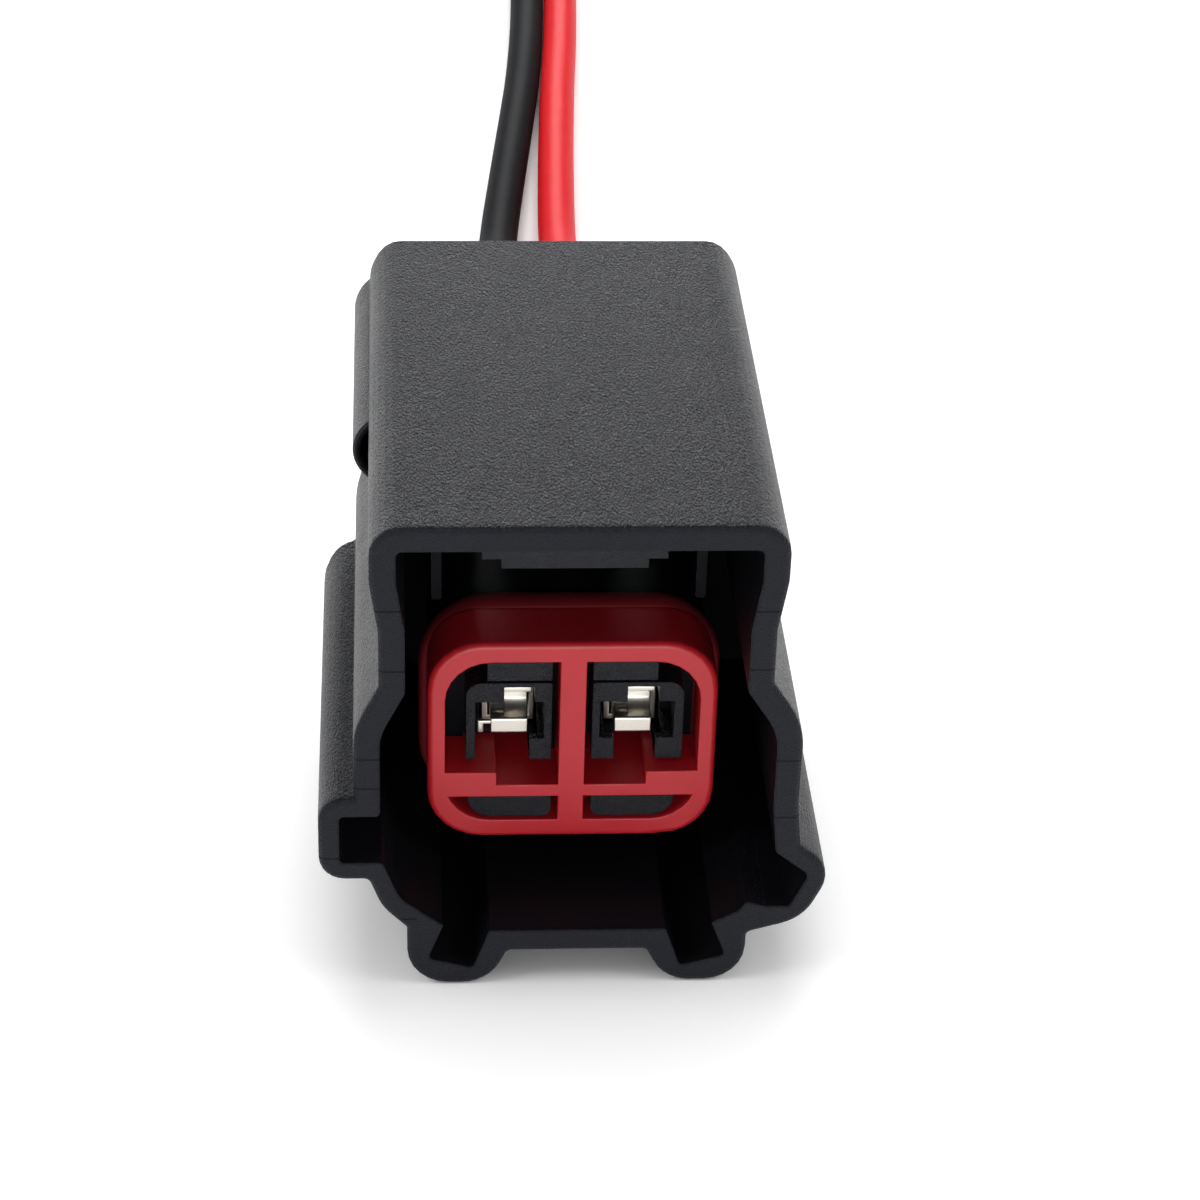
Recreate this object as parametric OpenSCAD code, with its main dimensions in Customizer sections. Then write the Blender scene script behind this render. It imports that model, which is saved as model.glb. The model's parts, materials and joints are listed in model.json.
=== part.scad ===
// Two-way sealed pigtail connector with a keyed shroud, a front retainer and two leads.
// Depths run from the front lip (0) to the rear. placed() then centres the body on the origin:
// the mating face looks towards -Y, the leads leave towards +Y and the feet stand on Z = 0.

/* [Shroud] */
// Wall thickness of the shroud
wall = 1.25; // [1.0:0.05:1.5]
// Wall thickness round the key slots
key_wall = 1; // [0.8:0.05:1.2]
// Depth of the shroud, from the lip to its rear face
shroud_len = 24; // [23:0.5:27]
// Thickness of the rear wall that carries the tower
bulkhead_t = 2; // [1.5:0.1:2.5]
// Depth of the roof, from the lip to its rear edge
roof_len = 29.5; // [28:0.5:33]
// Depth of the whole body, from the lip to the rear of the seal block
body_len = 34; // [33:0.5:38]
// Plan radius of the rear corners of the roof
roof_corner_r = 1.6; // [0.8:0.1:2.4]
// Plan radius of the rear corners of the shoulders
shoulder_corner_r = 1.2; // [0.6:0.1:1.8]
// Plan radius of the rear corners of the side bumps
bump_corner_r = 2.4; // [1.2:0.1:3]

/* [Cavity outline] */
// Height of the underside of the roof
roof_z = 24.65; // [24:0.05:26]
// Half width of the cavity under the roof
top_half = 8.35; // [8.1:0.05:8.8]
// Half width of the cavity at the neck
neck_half = 7.95; // [7.6:0.05:8.05]
// Height where the side walls start to draw in
draw_in_z = 23; // [22.6:0.1:23.4]
// Height where the side walls are upright again
upright_z = 20.4; // [19.6:0.1:21]
// Height of the neck
neck_z = 17; // [16.6:0.1:17.6]
// Height of the shoulders
shoulder_z = 14.6; // [13.8:0.1:15]
// Distance of the left shoulder wall from the middle
left_wall_x = 9.15; // [8.8:0.05:9.4]
// Distance of the right shoulder wall from the middle
right_wall_x = 9.5; // [9.2:0.05:9.7]
// Height of the cavity floor
floor_z = 3.2; // [3:0.05:3.4]

/* [Keys and feet] */
// Reach of the square key slot beyond the left wall
left_key_reach = 1.95; // [1.4:0.05:2.2]
// Height of the square key slot
left_key_h = 2.7; // [2.2:0.1:3]
// Height of the middle of the square key slot
left_key_z = 8.7; // [8.4:0.1:9.2]
// Reach of the slanted key slot beyond the right wall
right_key_reach = 1.95; // [1.6:0.05:2.3]
// Height of the tip of the slanted key slot
right_key_z = 6.35; // [6:0.05:6.7]
// Drop of the slanted key slot below its tip
right_key_drop = 1.85; // [1.7:0.05:2]
// Rise of the slanted key slot above its tip
right_key_rise = 1.4; // [1.2:0.05:1.6]
// Distance of the left foot groove from the middle
left_foot_x = 5.8; // [5.5:0.1:6.1]
// Distance of the right foot groove from the middle
right_foot_x = 6.5; // [6.2:0.1:6.8]
// Width of a foot groove at its bottom
foot_w = 2.2; // [1.9:0.1:2.4]
// Lean of a foot groove towards the outside
foot_lean = 0.75; // [0.5:0.05:0.9]
// Rise of a foot groove's bottom towards the outside
foot_tilt = 0.6; // [0.3:0.05:0.7]
// Thickness below the deep edge of a foot groove
foot_t = 0.95; // [0.85:0.05:1.15]
// Distance of a foot's outer flank from the middle of its groove
foot_side = 2.1; // [2:0.05:2.3]

/* [Latch and rails] */
// Width of the latch arm
latch_w = 6.9; // [5.5:0.1:7.5]
// Width of the latch head
latch_head_w = 8.7; // [8:0.1:10]
// Thickness of the latch arm
latch_t = 1.3; // [1:0.1:1.6]
// Height of the underside of the latch arm
latch_z = 21.85; // [21.4:0.05:22.1]
// Depth at which the latch head starts
latch_front = 4; // [3:0.5:6]
// Length of the latch head
latch_head_len = 1.6; // [1.2:0.1:2]
// Width of the slit in the latch head
latch_slit_w = 5.1; // [4:0.1:6]
// Height of the slit in the latch head
latch_slit_t = 0.14; // [0.1:0.02:0.2]
// Drop of the locking bar below the latch head
latch_bar_h = 0.5; // [0.3:0.05:0.8]
// Length of the locking bar
latch_bar_len = 2.4; // [2:0.1:3]
// Width of a latch leg
latch_leg_w = 1; // [0.8:0.1:1.4]
// Length of a latch leg along the depth
latch_leg_len = 1.5; // [1.2:0.1:1.8]
// Length of a latch leg at its foot
latch_leg_base = 3; // [2.6:0.1:3.6]
// Gap beside the latch arm where it passes the rear wall
latch_gap = 0.7; // [0.5:0.05:1]
// Room below the latch arm where it passes the rear wall
latch_travel = 1.8; // [1.4:0.1:2.2]
// Distance of the latch's rear end from the roof's rear edge
latch_rear_back = 1; // [0.5:0.1:2]
// Height of the grip ribs on the latch's rear end
grip_rib_h = 0.3; // [0.2:0.05:0.4]
// Spacing of the grip ribs
grip_rib_pitch = 1.3; // [1.1:0.1:1.6]
// Number of grip ribs
grip_ribs = 3; // [2:1:4]
// Distance of the guide fins from the middle
fin_x = 6.4; // [6:0.1:6.8]
// Thickness of a guide fin
fin_t = 0.5; // [0.4:0.05:0.8]
// Height of the clip tunnel on the left of the roof
tunnel_h = 3.2; // [2.4:0.1:3.8]
// How far the clip tunnel stands out
tunnel_out = 0.8; // [0.6:0.05:1.1]
// Depth at which the clip tunnel starts
tunnel_front = 13; // [11:0.5:15]
// Length of the clip tunnel
tunnel_len = 15.5; // [12:0.5:16]
// Skin of the clip tunnel at its open front
tunnel_skin = 0.4; // [0.3:0.05:0.5]
// Height of the clip tunnel's axis
tunnel_z = 22.6; // [22.2:0.1:23]
// Plan radius of the clip tunnel's rear end
tunnel_rear_r = 1.2; // [0.6:0.1:1.6]

/* [Tower] */
// Sideways offset of the tower and its retainer
tower_x = 0.15; // [0:0.05:0.3]
// Height of the tower's axis
tower_z = 10.85; // [10.7:0.05:11]
// Distance between the two terminals
pitch = 6.05; // [6:0.05:6.3]
// Sideways offset of the terminals and finger housings from the tower's axis
way_shift = 0.02; // [0:0.02:0.14]
// Reach of a finger housing from its terminal's axis towards the middle
finger_in = 2.04; // [1.95:0.01:2.1]
// Reach of the left finger housing from its terminal's axis outwards
finger_out_left = 2.13; // [2.05:0.01:2.2]
// Reach of the right finger housing from its terminal's axis outwards
finger_out_right = 2.4; // [2.3:0.01:2.45]
// Width of a finger housing's inner leg
finger_leg_in = 0.37; // [0.3:0.01:0.45]
// Width of a finger housing's outer leg
finger_leg_out = 0.45; // [0.4:0.01:0.55]
// Depth of the front of the finger housings
finger_front = 5.8; // [5.5:0.1:6.2]
// Thickness of a finger housing above its opening
finger_roof_t = 1.1; // [1:0.05:1.3]
// Radius of a finger housing's outer upper corner
finger_r = 0.75; // [0.4:0.05:1]
// Width of the foot on a finger housing's inner leg
finger_foot_w = 1.08; // [1:0.02:1.1]
// Width of the foot on the right finger housing's outer leg
outer_foot_w = 1.33; // [1.1:0.01:1.34]
// Height of the foot on a finger housing's leg
finger_foot_h = 1.2; // [0.9:0.05:1.4]
// Height of the notch over the terminal's front lip
lip_notch_h = 0.85; // [0.7:0.05:0.9]
// Width of the notch over the terminal's front lip
lip_notch_w = 1.54; // [1.5:0.01:1.6]
// Distance of the notch's left edge from the terminal's axis
lip_notch_left = 0.34; // [0.32:0.01:0.4]
// Width of the raised block over a finger housing
crown_w = 3.15; // [2.8:0.05:3.4]
// How far the raised block is set back
crown_back = 0.12; // [0.1:0.02:0.4]
// Width of the shadow line below the raised block
crown_gap = 0.06; // [0.04:0.02:0.2]
// Depth of the shadow line behind the finger housing's front
crown_gap_depth = 1.2; // [0.8:0.1:1.4]
// Width of the block below the locking blade
lower_w = 4.1; // [3.9:0.05:4.2]
// Outer corner radius of the block below the locking blade
lower_r = 1.15; // [0.8:0.05:1.2]
// Inner corner radius of the block below the locking blade
lower_inner_r = 0.45; // [0.2:0.05:0.6]
// Gap between that block and the retainer's rim below it
lower_gap = 0.08; // [0.06:0.02:0.3]
// Depth of that block's front behind the retainer's front face
lower_back = 0.2; // [0.1:0.05:0.6]
// Inset of the tower's shoulder from the retainer's outline
shoulder_inset = 0.15; // [0.1:0.05:0.3]

/* [Retainer] */
// Depth of the retainer's front face behind the lip
retainer_front = 5; // [4.5:0.1:5.2]
// Length of the retainer's rim
retainer_len = 3.3; // [3:0.1:4]
// Width of the retainer
retainer_w = 14.05; // [13.8:0.05:14.4]
// Height of the retainer
retainer_h = 11.3; // [11:0.05:11.4]
// Corner radius of the retainer
retainer_r = 2.65; // [2.3:0.05:3]
// Width of the retainer's rim at the sides
rim_t = 0.86; // [0.7:0.02:0.9]
// Width of the retainer's rim above and below
rim_cap_t = 1.05; // [0.95:0.01:1.1]
// Width of the upright bar between the windows
divider_w = 1.27; // [1:0.01:1.4]
// Distance of the locking blade's underside below the tower's axis
blade_drop = 3.22; // [3.1:0.01:3.3]
// Thickness of the locking blade
blade_t = 0.69; // [0.5:0.01:0.8]
// Extra height of the outer part of the locking blade
blade_step = 0.75; // [0.4:0.05:0.85]
// Distance of the blade's step from the tower's axis
blade_step_x = 3.65; // [3.4:0.05:3.9]
// Depth of the locking blade behind the rim
blade_reach = 1.5; // [1:0.1:2]
// Distance of the blade's tip from the upright bar
blade_tip_in = 0.3; // [0.2:0.05:0.4]
// Distance of the blade's tip from the rim
blade_tip_out = 0.9; // [0.7:0.05:1.1]

/* [Seals] */
// Length of the perimeter seal
seal_len = 1.4; // [1.2:0.1:2]
// How far the lips of the perimeter seal stand out past the retainer
seal_out = 0.4; // [0.3:0.05:0.7]
// Number of lips on the perimeter seal
seal_lips = 1; // [1:1:3]
// Width of the groove between two lips of the perimeter seal
seal_groove = 0.2; // [0.1:0.05:0.3]
// Diameter of the bore that holds a wire seal
seal_bore = 5; // [4.8:0.05:5.2]
// Length of a wire seal
wire_seal_len = 6.6; // [6:0.1:7]
// Number of lips on a wire seal
wire_seal_lips = 3; // [2:1:4]
// Height of a wire seal's lips
wire_seal_lip_h = 0.55; // [0.4:0.05:0.7]
// Wall of the seal block round a bore
seal_block_wall = 1.3; // [1:0.05:1.6]
// Half height of the flat side of the seal block
seal_block_flat = 0.3; // [0.2:0.1:0.8]

/* [Terminals] */
// Sheet thickness of a terminal
sheet = 0.3; // [0.2:0.02:0.36]
// Width of a terminal's contact box
box_w = 2.6; // [2.4:0.05:2.8]
// Height of a terminal's contact box
box_h = 2.6; // [2.4:0.05:2.7]
// Length of a terminal's contact box
box_len = 6.5; // [6.2:0.1:6.8]
// Width of the spring tongue's nose
nose_w = 1.8; // [1.6:0.05:2]
// Height of the spring tongue's nose
nose_h = 0.9; // [0.7:0.05:1]
// How far the nose stands out in front of the contact box
nose_reach = 2.4; // [2.2:0.1:2.6]
// Depth of the upright stem behind the nose's front
stem_back = 1.15; // [1.05:0.05:1.25]
// Radius of the bend from the nose up to the stem
stem_r = 0.95; // [0.8:0.05:1]
// Angle of the bend at which its left part is cut off
stem_cut = 45; // [30:1:60]
// How far the lip on the stem stands out to the front
lip_reach = 0.3; // [0.2:0.05:0.35]
// How far the lip stands out beside the stem
lip_over = 0.22; // [0.15:0.01:0.24]
// Distance of the tongue's left edge from the terminal's axis
tongue_left = 0.26; // [0.2:0.02:0.4]
// Depth behind the box front at which the tongue reaches its crest
tongue_rise = 1.6; // [1.2:0.1:2]
// Depth behind the box front at which the tongue leaves its crest
tongue_flat = 3; // [2.4:0.1:3.6]
// Distance of the nose's underside below the terminal's axis
nose_drop = 0.55; // [0.45:0.05:0.6]
// Reach of the nose into the contact box
nose_root = 0.4; // [0.35:0.05:0.6]
// Reach of the locating hook beside the nose
hook_w = 0.65; // [0.5:0.05:0.7]
// Thickness of the locating hook
hook_t = 0.2; // [0.16:0.02:0.24]
// Width of the spine under the crimps
spine_w = 1.6; // [1.4:0.1:1.8]
// Length of the strand crimp
core_len = 3.6; // [3:0.1:4]
// Length of the insulation crimp
grip_len = 2.4; // [2:0.1:2.6]
// Depth of the contact box behind the finger housings' front
box_back = 3.2; // [3:0.1:3.4]
// Gap between a terminal and its cavity
terminal_gap = 0.12; // [0.08:0.01:0.15]

/* [Leads] */
// Diameter of a lead over its insulation
lead_d = 2.6; // [2.3:0.05:2.6]
// Diameter of the bare strands
strand_d = 1.5; // [1.3:0.05:1.7]
// Length of bare strands at the free end
strip_len = 6; // [4:0.5:9]

/* [Hidden] */
$fn = 64;

// Arc segments to a rounded corner, and the tightest inside corner of a moulding
arc_steps = 6;
tight_r = 0.35;
// Running gap between pieces that slide together, and round a strand or lead in its crimp or seal
slide_gap = 0.06;
barrel_gap = 0.04;
// Overreach of a cut past the face it opens, and of a solid into the one that carries it
over = 0.5;
lap = 0.1;

cavity_depth = shroud_len - bulkhead_t;
left_key_x = left_wall_x + left_key_reach;
right_key_x = right_wall_x + right_key_reach;
left_out = left_key_x + key_wall;
right_out = right_key_x + key_wall;
roof_out = top_half + wall;
roof_top = roof_z + wall;
bump_top = left_key_z + left_key_h / 2 + key_wall;
way_x = tower_x + way_shift;
cavity_x = [way_x - pitch / 2, way_x + pitch / 2];

retainer_rear = retainer_front + retainer_len;
seal_rear = retainer_rear + seal_len;
box_front = finger_front + box_back;
box_rear = box_front + box_len;
box_floor = tower_z - box_h / 2 - terminal_gap / 2;
box_top = box_floor + box_h;

// Crimps, strands and wire seal follow one another behind the contact box
core_back = 1.3;
bare_len = 1.6;
grip_back = 0.4;
seal_back = 0.8;
core_front = box_rear + core_back;
lead_front = core_front + core_len + bare_len;
grip_front = lead_front + grip_back;
grip_rear = grip_front + grip_len;
seal_seat = grip_rear + seal_back;
grip_d = lead_d + 2 * barrel_gap + 2 * sheet;
channel_gap = 0.2;
channel_d = grip_d + 2 * channel_gap;

// Route of each lead behind the lip: out of the seal, down under gravity, then along the surface
rest_z = lead_d / 2;
black_route = [[-2.855, 22, 10.85], [-2.855, 28.5, 10.85], [-2.855, 35, 10.85], [-2.82, 41, 10.75],
    [-2.75, 47, 10.1], [-2.62, 53, 8.8], [-2.4, 59, 6.9], [-2.1, 65, 4.8], [-1.75, 71, 2.95],
    [-1.34, 77, 1.65], [-0.88, 83, rest_z], [-0.31, 89, rest_z], [0.28, 95, rest_z], [0.88, 101, rest_z],
    [1.45, 107, rest_z], [1.9, 113, rest_z], [2.25, 119, rest_z], [2.5, 125, rest_z], [2.7, 131, rest_z],
    [2.85, 137, rest_z], [2.95, 143, rest_z], [3, 149, rest_z], [3, 155, rest_z], [2.9, 161, rest_z],
    [2.7, 167, rest_z], [2.4, 173, rest_z], [2.05, 178, rest_z]];
red_route = [[3.195, 22, 10.85], [3.195, 28.5, 10.85], [3.195, 35, 10.85], [3.17, 41, 10.75],
    [3.1, 47, 10.1], [3, 53, 8.8], [2.91, 59, 6.9], [2.86, 65, 4.8], [2.85, 71, 2.95],
    [2.9, 77, 1.65], [3.03, 83, rest_z], [3.26, 89, rest_z], [3.52, 95, rest_z], [3.83, 101, rest_z],
    [4.17, 107, rest_z], [4.56, 113, rest_z], [4.9, 119, rest_z], [5.17, 125, rest_z], [5.42, 131, rest_z],
    [5.7, 137, rest_z], [6, 143, rest_z], [6.35, 149, rest_z], [6.75, 155, rest_z], [7.2, 161, rest_z],
    [7.7, 167, rest_z], [8.25, 173, rest_z], [8.75, 178, rest_z]];
lead_sides = 8;

function unit(v) = v / norm(v);
function turn(u, v) = u.x * v.y - u.y * v.x;
function before(list, i) = list[(i + len(list) - 1) % len(list)];
function after(list, i) = list[(i + 1) % len(list)];
function xy(p) = [p.x, p.y];

// Points of one rounded corner b between its neighbours a and c
function corner_arc(a, b, c, r) =
    let (u = unit(a - b), v = unit(c - b), half = acos(u * v) / 2)
    let (middle = b + unit(u + v) * r / sin(half))
    let (s = b + u * r / tan(half) - middle, e = b + v * r / tan(half) - middle)
    let (from = atan2(s.y, s.x), sweep = (atan2(e.y, e.x) - from + 540) % 360 - 180)
    [for (i = [0 : arc_steps]) let (t = from + sweep * i / arc_steps) middle + r * [cos(t), sin(t)]];

// Closed outline through corners given as [x, z, radius], counter-clockwise
function outline(corners) = [for (i = [0 : len(corners) - 1])
    each corner_arc(xy(before(corners, i)), xy(corners[i]), xy(after(corners, i)), corners[i].z)];

// The same corners moved outwards by the wall after each, with arcs that stay parallel
function grown(corners) = [for (i = [0 : len(corners) - 1])
    let (b = xy(corners[i]), u = unit(b - xy(before(corners, i))), v = unit(xy(after(corners, i)) - b))
    let (n = [u.y, -u.x], m = [v.y, -v.x], k = n * m, t = before(corners, i)[3], s = corners[i][3])
    let (p = b + ((t - s * k) * n + (s - t * k) * m) / (1 - k * k))
    let (r = corners[i].z, shift = (t + s) / 2)
    [p.x, p.y, turn(u, v) > 0 ? r + shift + corners[i][4] : max(r - shift, tight_r)]];

// Corner of the cavity: place, radius, the wall along the edge that follows and extra rounding outside
function corner(x, z, r, t = wall, ease = 0) = [x, z, r, t, ease];

// Corners of a rectangle with one radius, and of one centred on the tower's axis
function rectangle(x0, x1, z0, z1, r) = [[x0, z1, r], [x0, z0, r], [x1, z0, r], [x1, z1, r]];
function centred(w, h, r) =
    rectangle(tower_x - w / 2, tower_x + w / 2, tower_z - h / 2, tower_z + h / 2, r);

// Radii of the cavity's corners: its wall bends, its shoulders and neck, and its keys and feet
bend_r = 3;
shoulder_r = 3.2;
neck_r = 0.6;
roof_edge_r = 0.3;
key_r = 0.25;
slant_r = 0.4;
foot_r = 0.75;
edge_r = 0.15;
// Extra rounding outside the heel and the tip of the slanted key
heel_ease = 1.15;
tip_ease = 0.3;
// Rounded haunch between the square key and the left foot
haunch_in = 0.9;
haunch_rise = 2;
haunch_r = 2;
// Step of the cavity floor outside the feet, and the low ridge beside the slanted key
floor_step = 0.35;
ridge_foot_in = 1.35;
ridge_foot_rise = 1.05;
ridge_top_in = 1;
ridge_top_rise = 1.6;
slant_foot = 1.1;
slant_head = 0.25;
slant_bend = 4;
// Flank of a foot towards the middle, drawn on the cavity's side of its wall
flank_in = 1.05;
flank_lean = 0.95;

// Corners of the cavity in turn, down the left side, along the floor and up the right side
upper_left = [
    corner(-top_half, roof_z, roof_edge_r), corner(-top_half, draw_in_z, bend_r),
    corner(-neck_half, upright_z, bend_r), corner(-neck_half, neck_z, neck_r),
    corner(-left_wall_x, shoulder_z, shoulder_r)];
left_key = [
    corner(-left_wall_x, left_key_z + left_key_h / 2, key_r, key_wall),
    corner(-left_key_x, left_key_z + left_key_h / 2, key_r, key_wall),
    corner(-left_key_x, left_key_z - left_key_h / 2, key_r, key_wall),
    corner(-left_wall_x + lap, left_key_z - left_key_h / 2, key_r, key_wall),
    corner(-left_wall_x + haunch_in, floor_z + haunch_rise, haunch_r, key_wall)];
left_foot = [
    corner(-left_foot_x - foot_w / 2 + foot_lean, floor_z + floor_step, edge_r),
    corner(-left_foot_x - foot_w / 2, foot_t + foot_tilt, key_r),
    corner(-left_foot_x + foot_w / 2, foot_t, key_r),
    corner(-left_foot_x + foot_w / 2 + foot_lean, floor_z, edge_r)];
right_foot = [
    corner(right_foot_x - foot_w / 2 - foot_lean, floor_z, edge_r),
    corner(right_foot_x - foot_w / 2, foot_t, key_r),
    corner(right_foot_x + foot_w / 2, foot_t + foot_tilt, key_r),
    corner(right_foot_x + foot_w / 2 - foot_lean, floor_z + floor_step, edge_r)];
// Feet as the outside follows them: upright outer flanks and round soles
left_foot_skin = [
    corner(-left_foot_x - foot_side + wall, floor_z + floor_step, edge_r),
    corner(-left_foot_x - foot_side + wall, wall, foot_r),
    corner(-left_foot_x + flank_in, wall, foot_r),
    corner(-left_foot_x + flank_in + flank_lean, floor_z, edge_r)];
right_foot_skin = [
    corner(right_foot_x - flank_in - flank_lean, floor_z, edge_r),
    corner(right_foot_x - flank_in, wall, foot_r),
    corner(right_foot_x + foot_side - wall, wall, foot_r),
    corner(right_foot_x + foot_side - wall, floor_z + floor_step, edge_r, key_wall)];
// Low ridge beside the slanted key, which shows inside the cavity only
right_ridge = [
    corner(right_wall_x - ridge_foot_in, floor_z + ridge_foot_rise, slant_r),
    corner(right_wall_x - ridge_top_in, floor_z + ridge_top_rise, key_r),
    corner(right_wall_x - lap, right_key_z - right_key_drop, slant_r)];
right_key = [
    corner(right_wall_x + slant_foot, right_key_z - right_key_drop, key_r, key_wall, heel_ease),
    corner(right_key_x, right_key_z, slant_r, key_wall, tip_ease),
    corner(right_wall_x + slant_head, right_key_z + right_key_rise, slant_r)];
upper_right = [
    corner(right_wall_x, right_key_z + slant_bend, bend_r), corner(right_wall_x, shoulder_z, shoulder_r),
    corner(neck_half, neck_z, neck_r), corner(neck_half, upright_z, bend_r),
    corner(top_half, draw_in_z, bend_r), corner(top_half, roof_z, roof_edge_r)];
cavity_corners = concat(upper_left, left_key, left_foot, right_foot, right_ridge, right_key, upper_right);
shroud_corners = grown(concat(
    upper_left, left_key, left_foot_skin, right_foot_skin, right_key, upper_right));

// Window frame of the retainer and the fit of the tower inside it
opening_w = retainer_w - 2 * rim_t;
opening_h = retainer_h - 2 * rim_cap_t;
opening_r = retainer_r - rim_t / 2;
opening_low = tower_z - opening_h / 2;
opening_high = tower_z + opening_h / 2;
neck_w = opening_w - 2 * slide_gap;
neck_h = opening_h - 2 * slide_gap;
blade_z = tower_z - blade_drop;
blade_top = blade_z + blade_t;
blade_tip_near = divider_w / 2 + blade_tip_in;
blade_tip_far = opening_w / 2 - blade_tip_out;

// Heights of the finger housings, between the locking blade's step and the raised blocks above them
crown_h = 1.7;
finger_high = opening_high - crown_h;
finger_low = blade_top + blade_step + 4 * slide_gap;
finger_eaves = finger_high - finger_roof_t;

// Extrudes an outline drawn in X and Z from one depth to another
module along(from, to) translate([0, to, 0]) rotate([90, 0, 0]) linear_extrude(to - from) children();

// Extrudes an outline drawn in depth and Z from one X to another
module across(from, to) translate([from, 0, 0]) rotate([90, 0, 90]) linear_extrude(to - from) children();

// Extrudes an outline drawn in plan from one height to another
module upward(from, to) translate([0, 0, from]) linear_extrude(to - from) children();

// A straight block between two X, two depths and two heights, with X given in either order
module block(x0, x1, y0, y1, z0, z1)
    translate([min(x0, x1), y0, z0]) cube([abs(x1 - x0), y1 - y0, z1 - z0]);

// A round bar along the depth, on a given axis
module bar(x, z, d, from, to) translate([x, to, z]) rotate([90, 0, 0]) cylinder(d = d, h = to - from);

module placed() translate([0, -body_len / 2, 0]) children();

// Plan outline with round rear corners
module rear_plan(left, right, rear, r) polygon(outline([
    [-left, rear, r], [-left, -over, lap], [right, -over, lap], [right, rear, r]]));

module shroud_section() polygon(outline(shroud_corners));
module cavity_section() polygon(outline(cavity_corners));

// Shroud wall with rounded rear corners, and the bulkhead that closes it below the latch
module shroud() intersection() {
    union() {
        along(0, cavity_depth) difference() {
            shroud_section();
            cavity_section();
        }
        along(cavity_depth, shroud_len) difference() {
            shroud_section();
            translate([-latch_w / 2 - latch_gap, latch_z - latch_travel])
                square([latch_w + 2 * latch_gap, roof_z - latch_z + latch_travel]);
        }
    }
    union() {
        upward(-over, bump_top + lap) rear_plan(left_out, right_out, shroud_len, bump_corner_r);
        upward(bump_top, roof_top + over)
            rear_plan(left_wall_x + wall, right_wall_x + wall, shroud_len, shoulder_corner_r);
    }
}

// Roof over the latch, open behind the bulkhead
module roof() intersection() {
    along(0, roof_len) intersection() {
        difference() {
            shroud_section();
            cavity_section();
        }
        translate([-roof_out - over, neck_z]) square([2 * (roof_out + over), roof_top]);
    }
    upward(0, roof_top + over) rear_plan(roof_out, roof_out, roof_len, roof_corner_r);
}

// Half-round tunnel for a harness clip, open at its front
module clip_tunnel() {
    r = (tunnel_h * tunnel_h / 4 + tunnel_out * tunnel_out) / (2 * tunnel_out);
    x = -roof_out - tunnel_out + r;
    left = -roof_out - tunnel_out - over;
    right = -roof_out + wall / 3;
    rear = tunnel_front + tunnel_len;
    intersection() {
        difference() {
            bar(x, tunnel_z, 2 * r, tunnel_front, rear);
            bar(x, tunnel_z, 2 * (r - tunnel_skin), tunnel_front - over, tunnel_front + tunnel_len / 2);
        }
        upward(0, roof_top) polygon(outline([
            [left, rear, tunnel_rear_r], [left, tunnel_front, lap],
            [right, tunnel_front, lap], [right, rear, lap]]));
    }
}

// Latch arm: a rocking beam on two legs, with a wide head and a locking bar at the front
module latch() {
    half = latch_w / 2;
    top = latch_z + latch_t;
    middle = latch_z + latch_t / 2;
    rear = roof_len - latch_rear_back;
    leg_front = cavity_depth - latch_leg_base;
    head_half = latch_head_w / 2;
    slit_half = latch_slit_w / 2;
    head_rear = latch_front + latch_head_len;
    block(-half, half, latch_front, rear, latch_z, top);
    difference() {
        union() {
            block(-head_half, head_half, latch_front, head_rear, latch_z, top);
            block(-half, half, latch_front, latch_front + latch_bar_len, latch_z - latch_bar_h, top);
        }
        block(-slit_half, slit_half, latch_front - over, head_rear - latch_head_len / 2,
            latch_z + latch_slit_t / 2, latch_z + 3 * latch_slit_t / 2);
    }
    for (i = [0 : grip_ribs - 1]) {
        rib_rear = rear - grip_rib_pitch * i;
        block(-half, half, rib_rear - grip_rib_pitch / 2, rib_rear, latch_z, top + grip_rib_h);
    }
    for (left = [-half, half - latch_leg_w]) across(left, left + latch_leg_w)
        polygon([[leg_front, tower_z], [cavity_depth + lap, tower_z],
            [leg_front + 3 * latch_leg_len / 2, middle], [leg_front + latch_leg_len / 2, middle]]);
}

module guide_fins() for (x = [-fin_x, fin_x])
    block(x - fin_t / 2, x + fin_t / 2, retainer_rear, shroud_len, neck_z, roof_z + lap);

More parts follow.
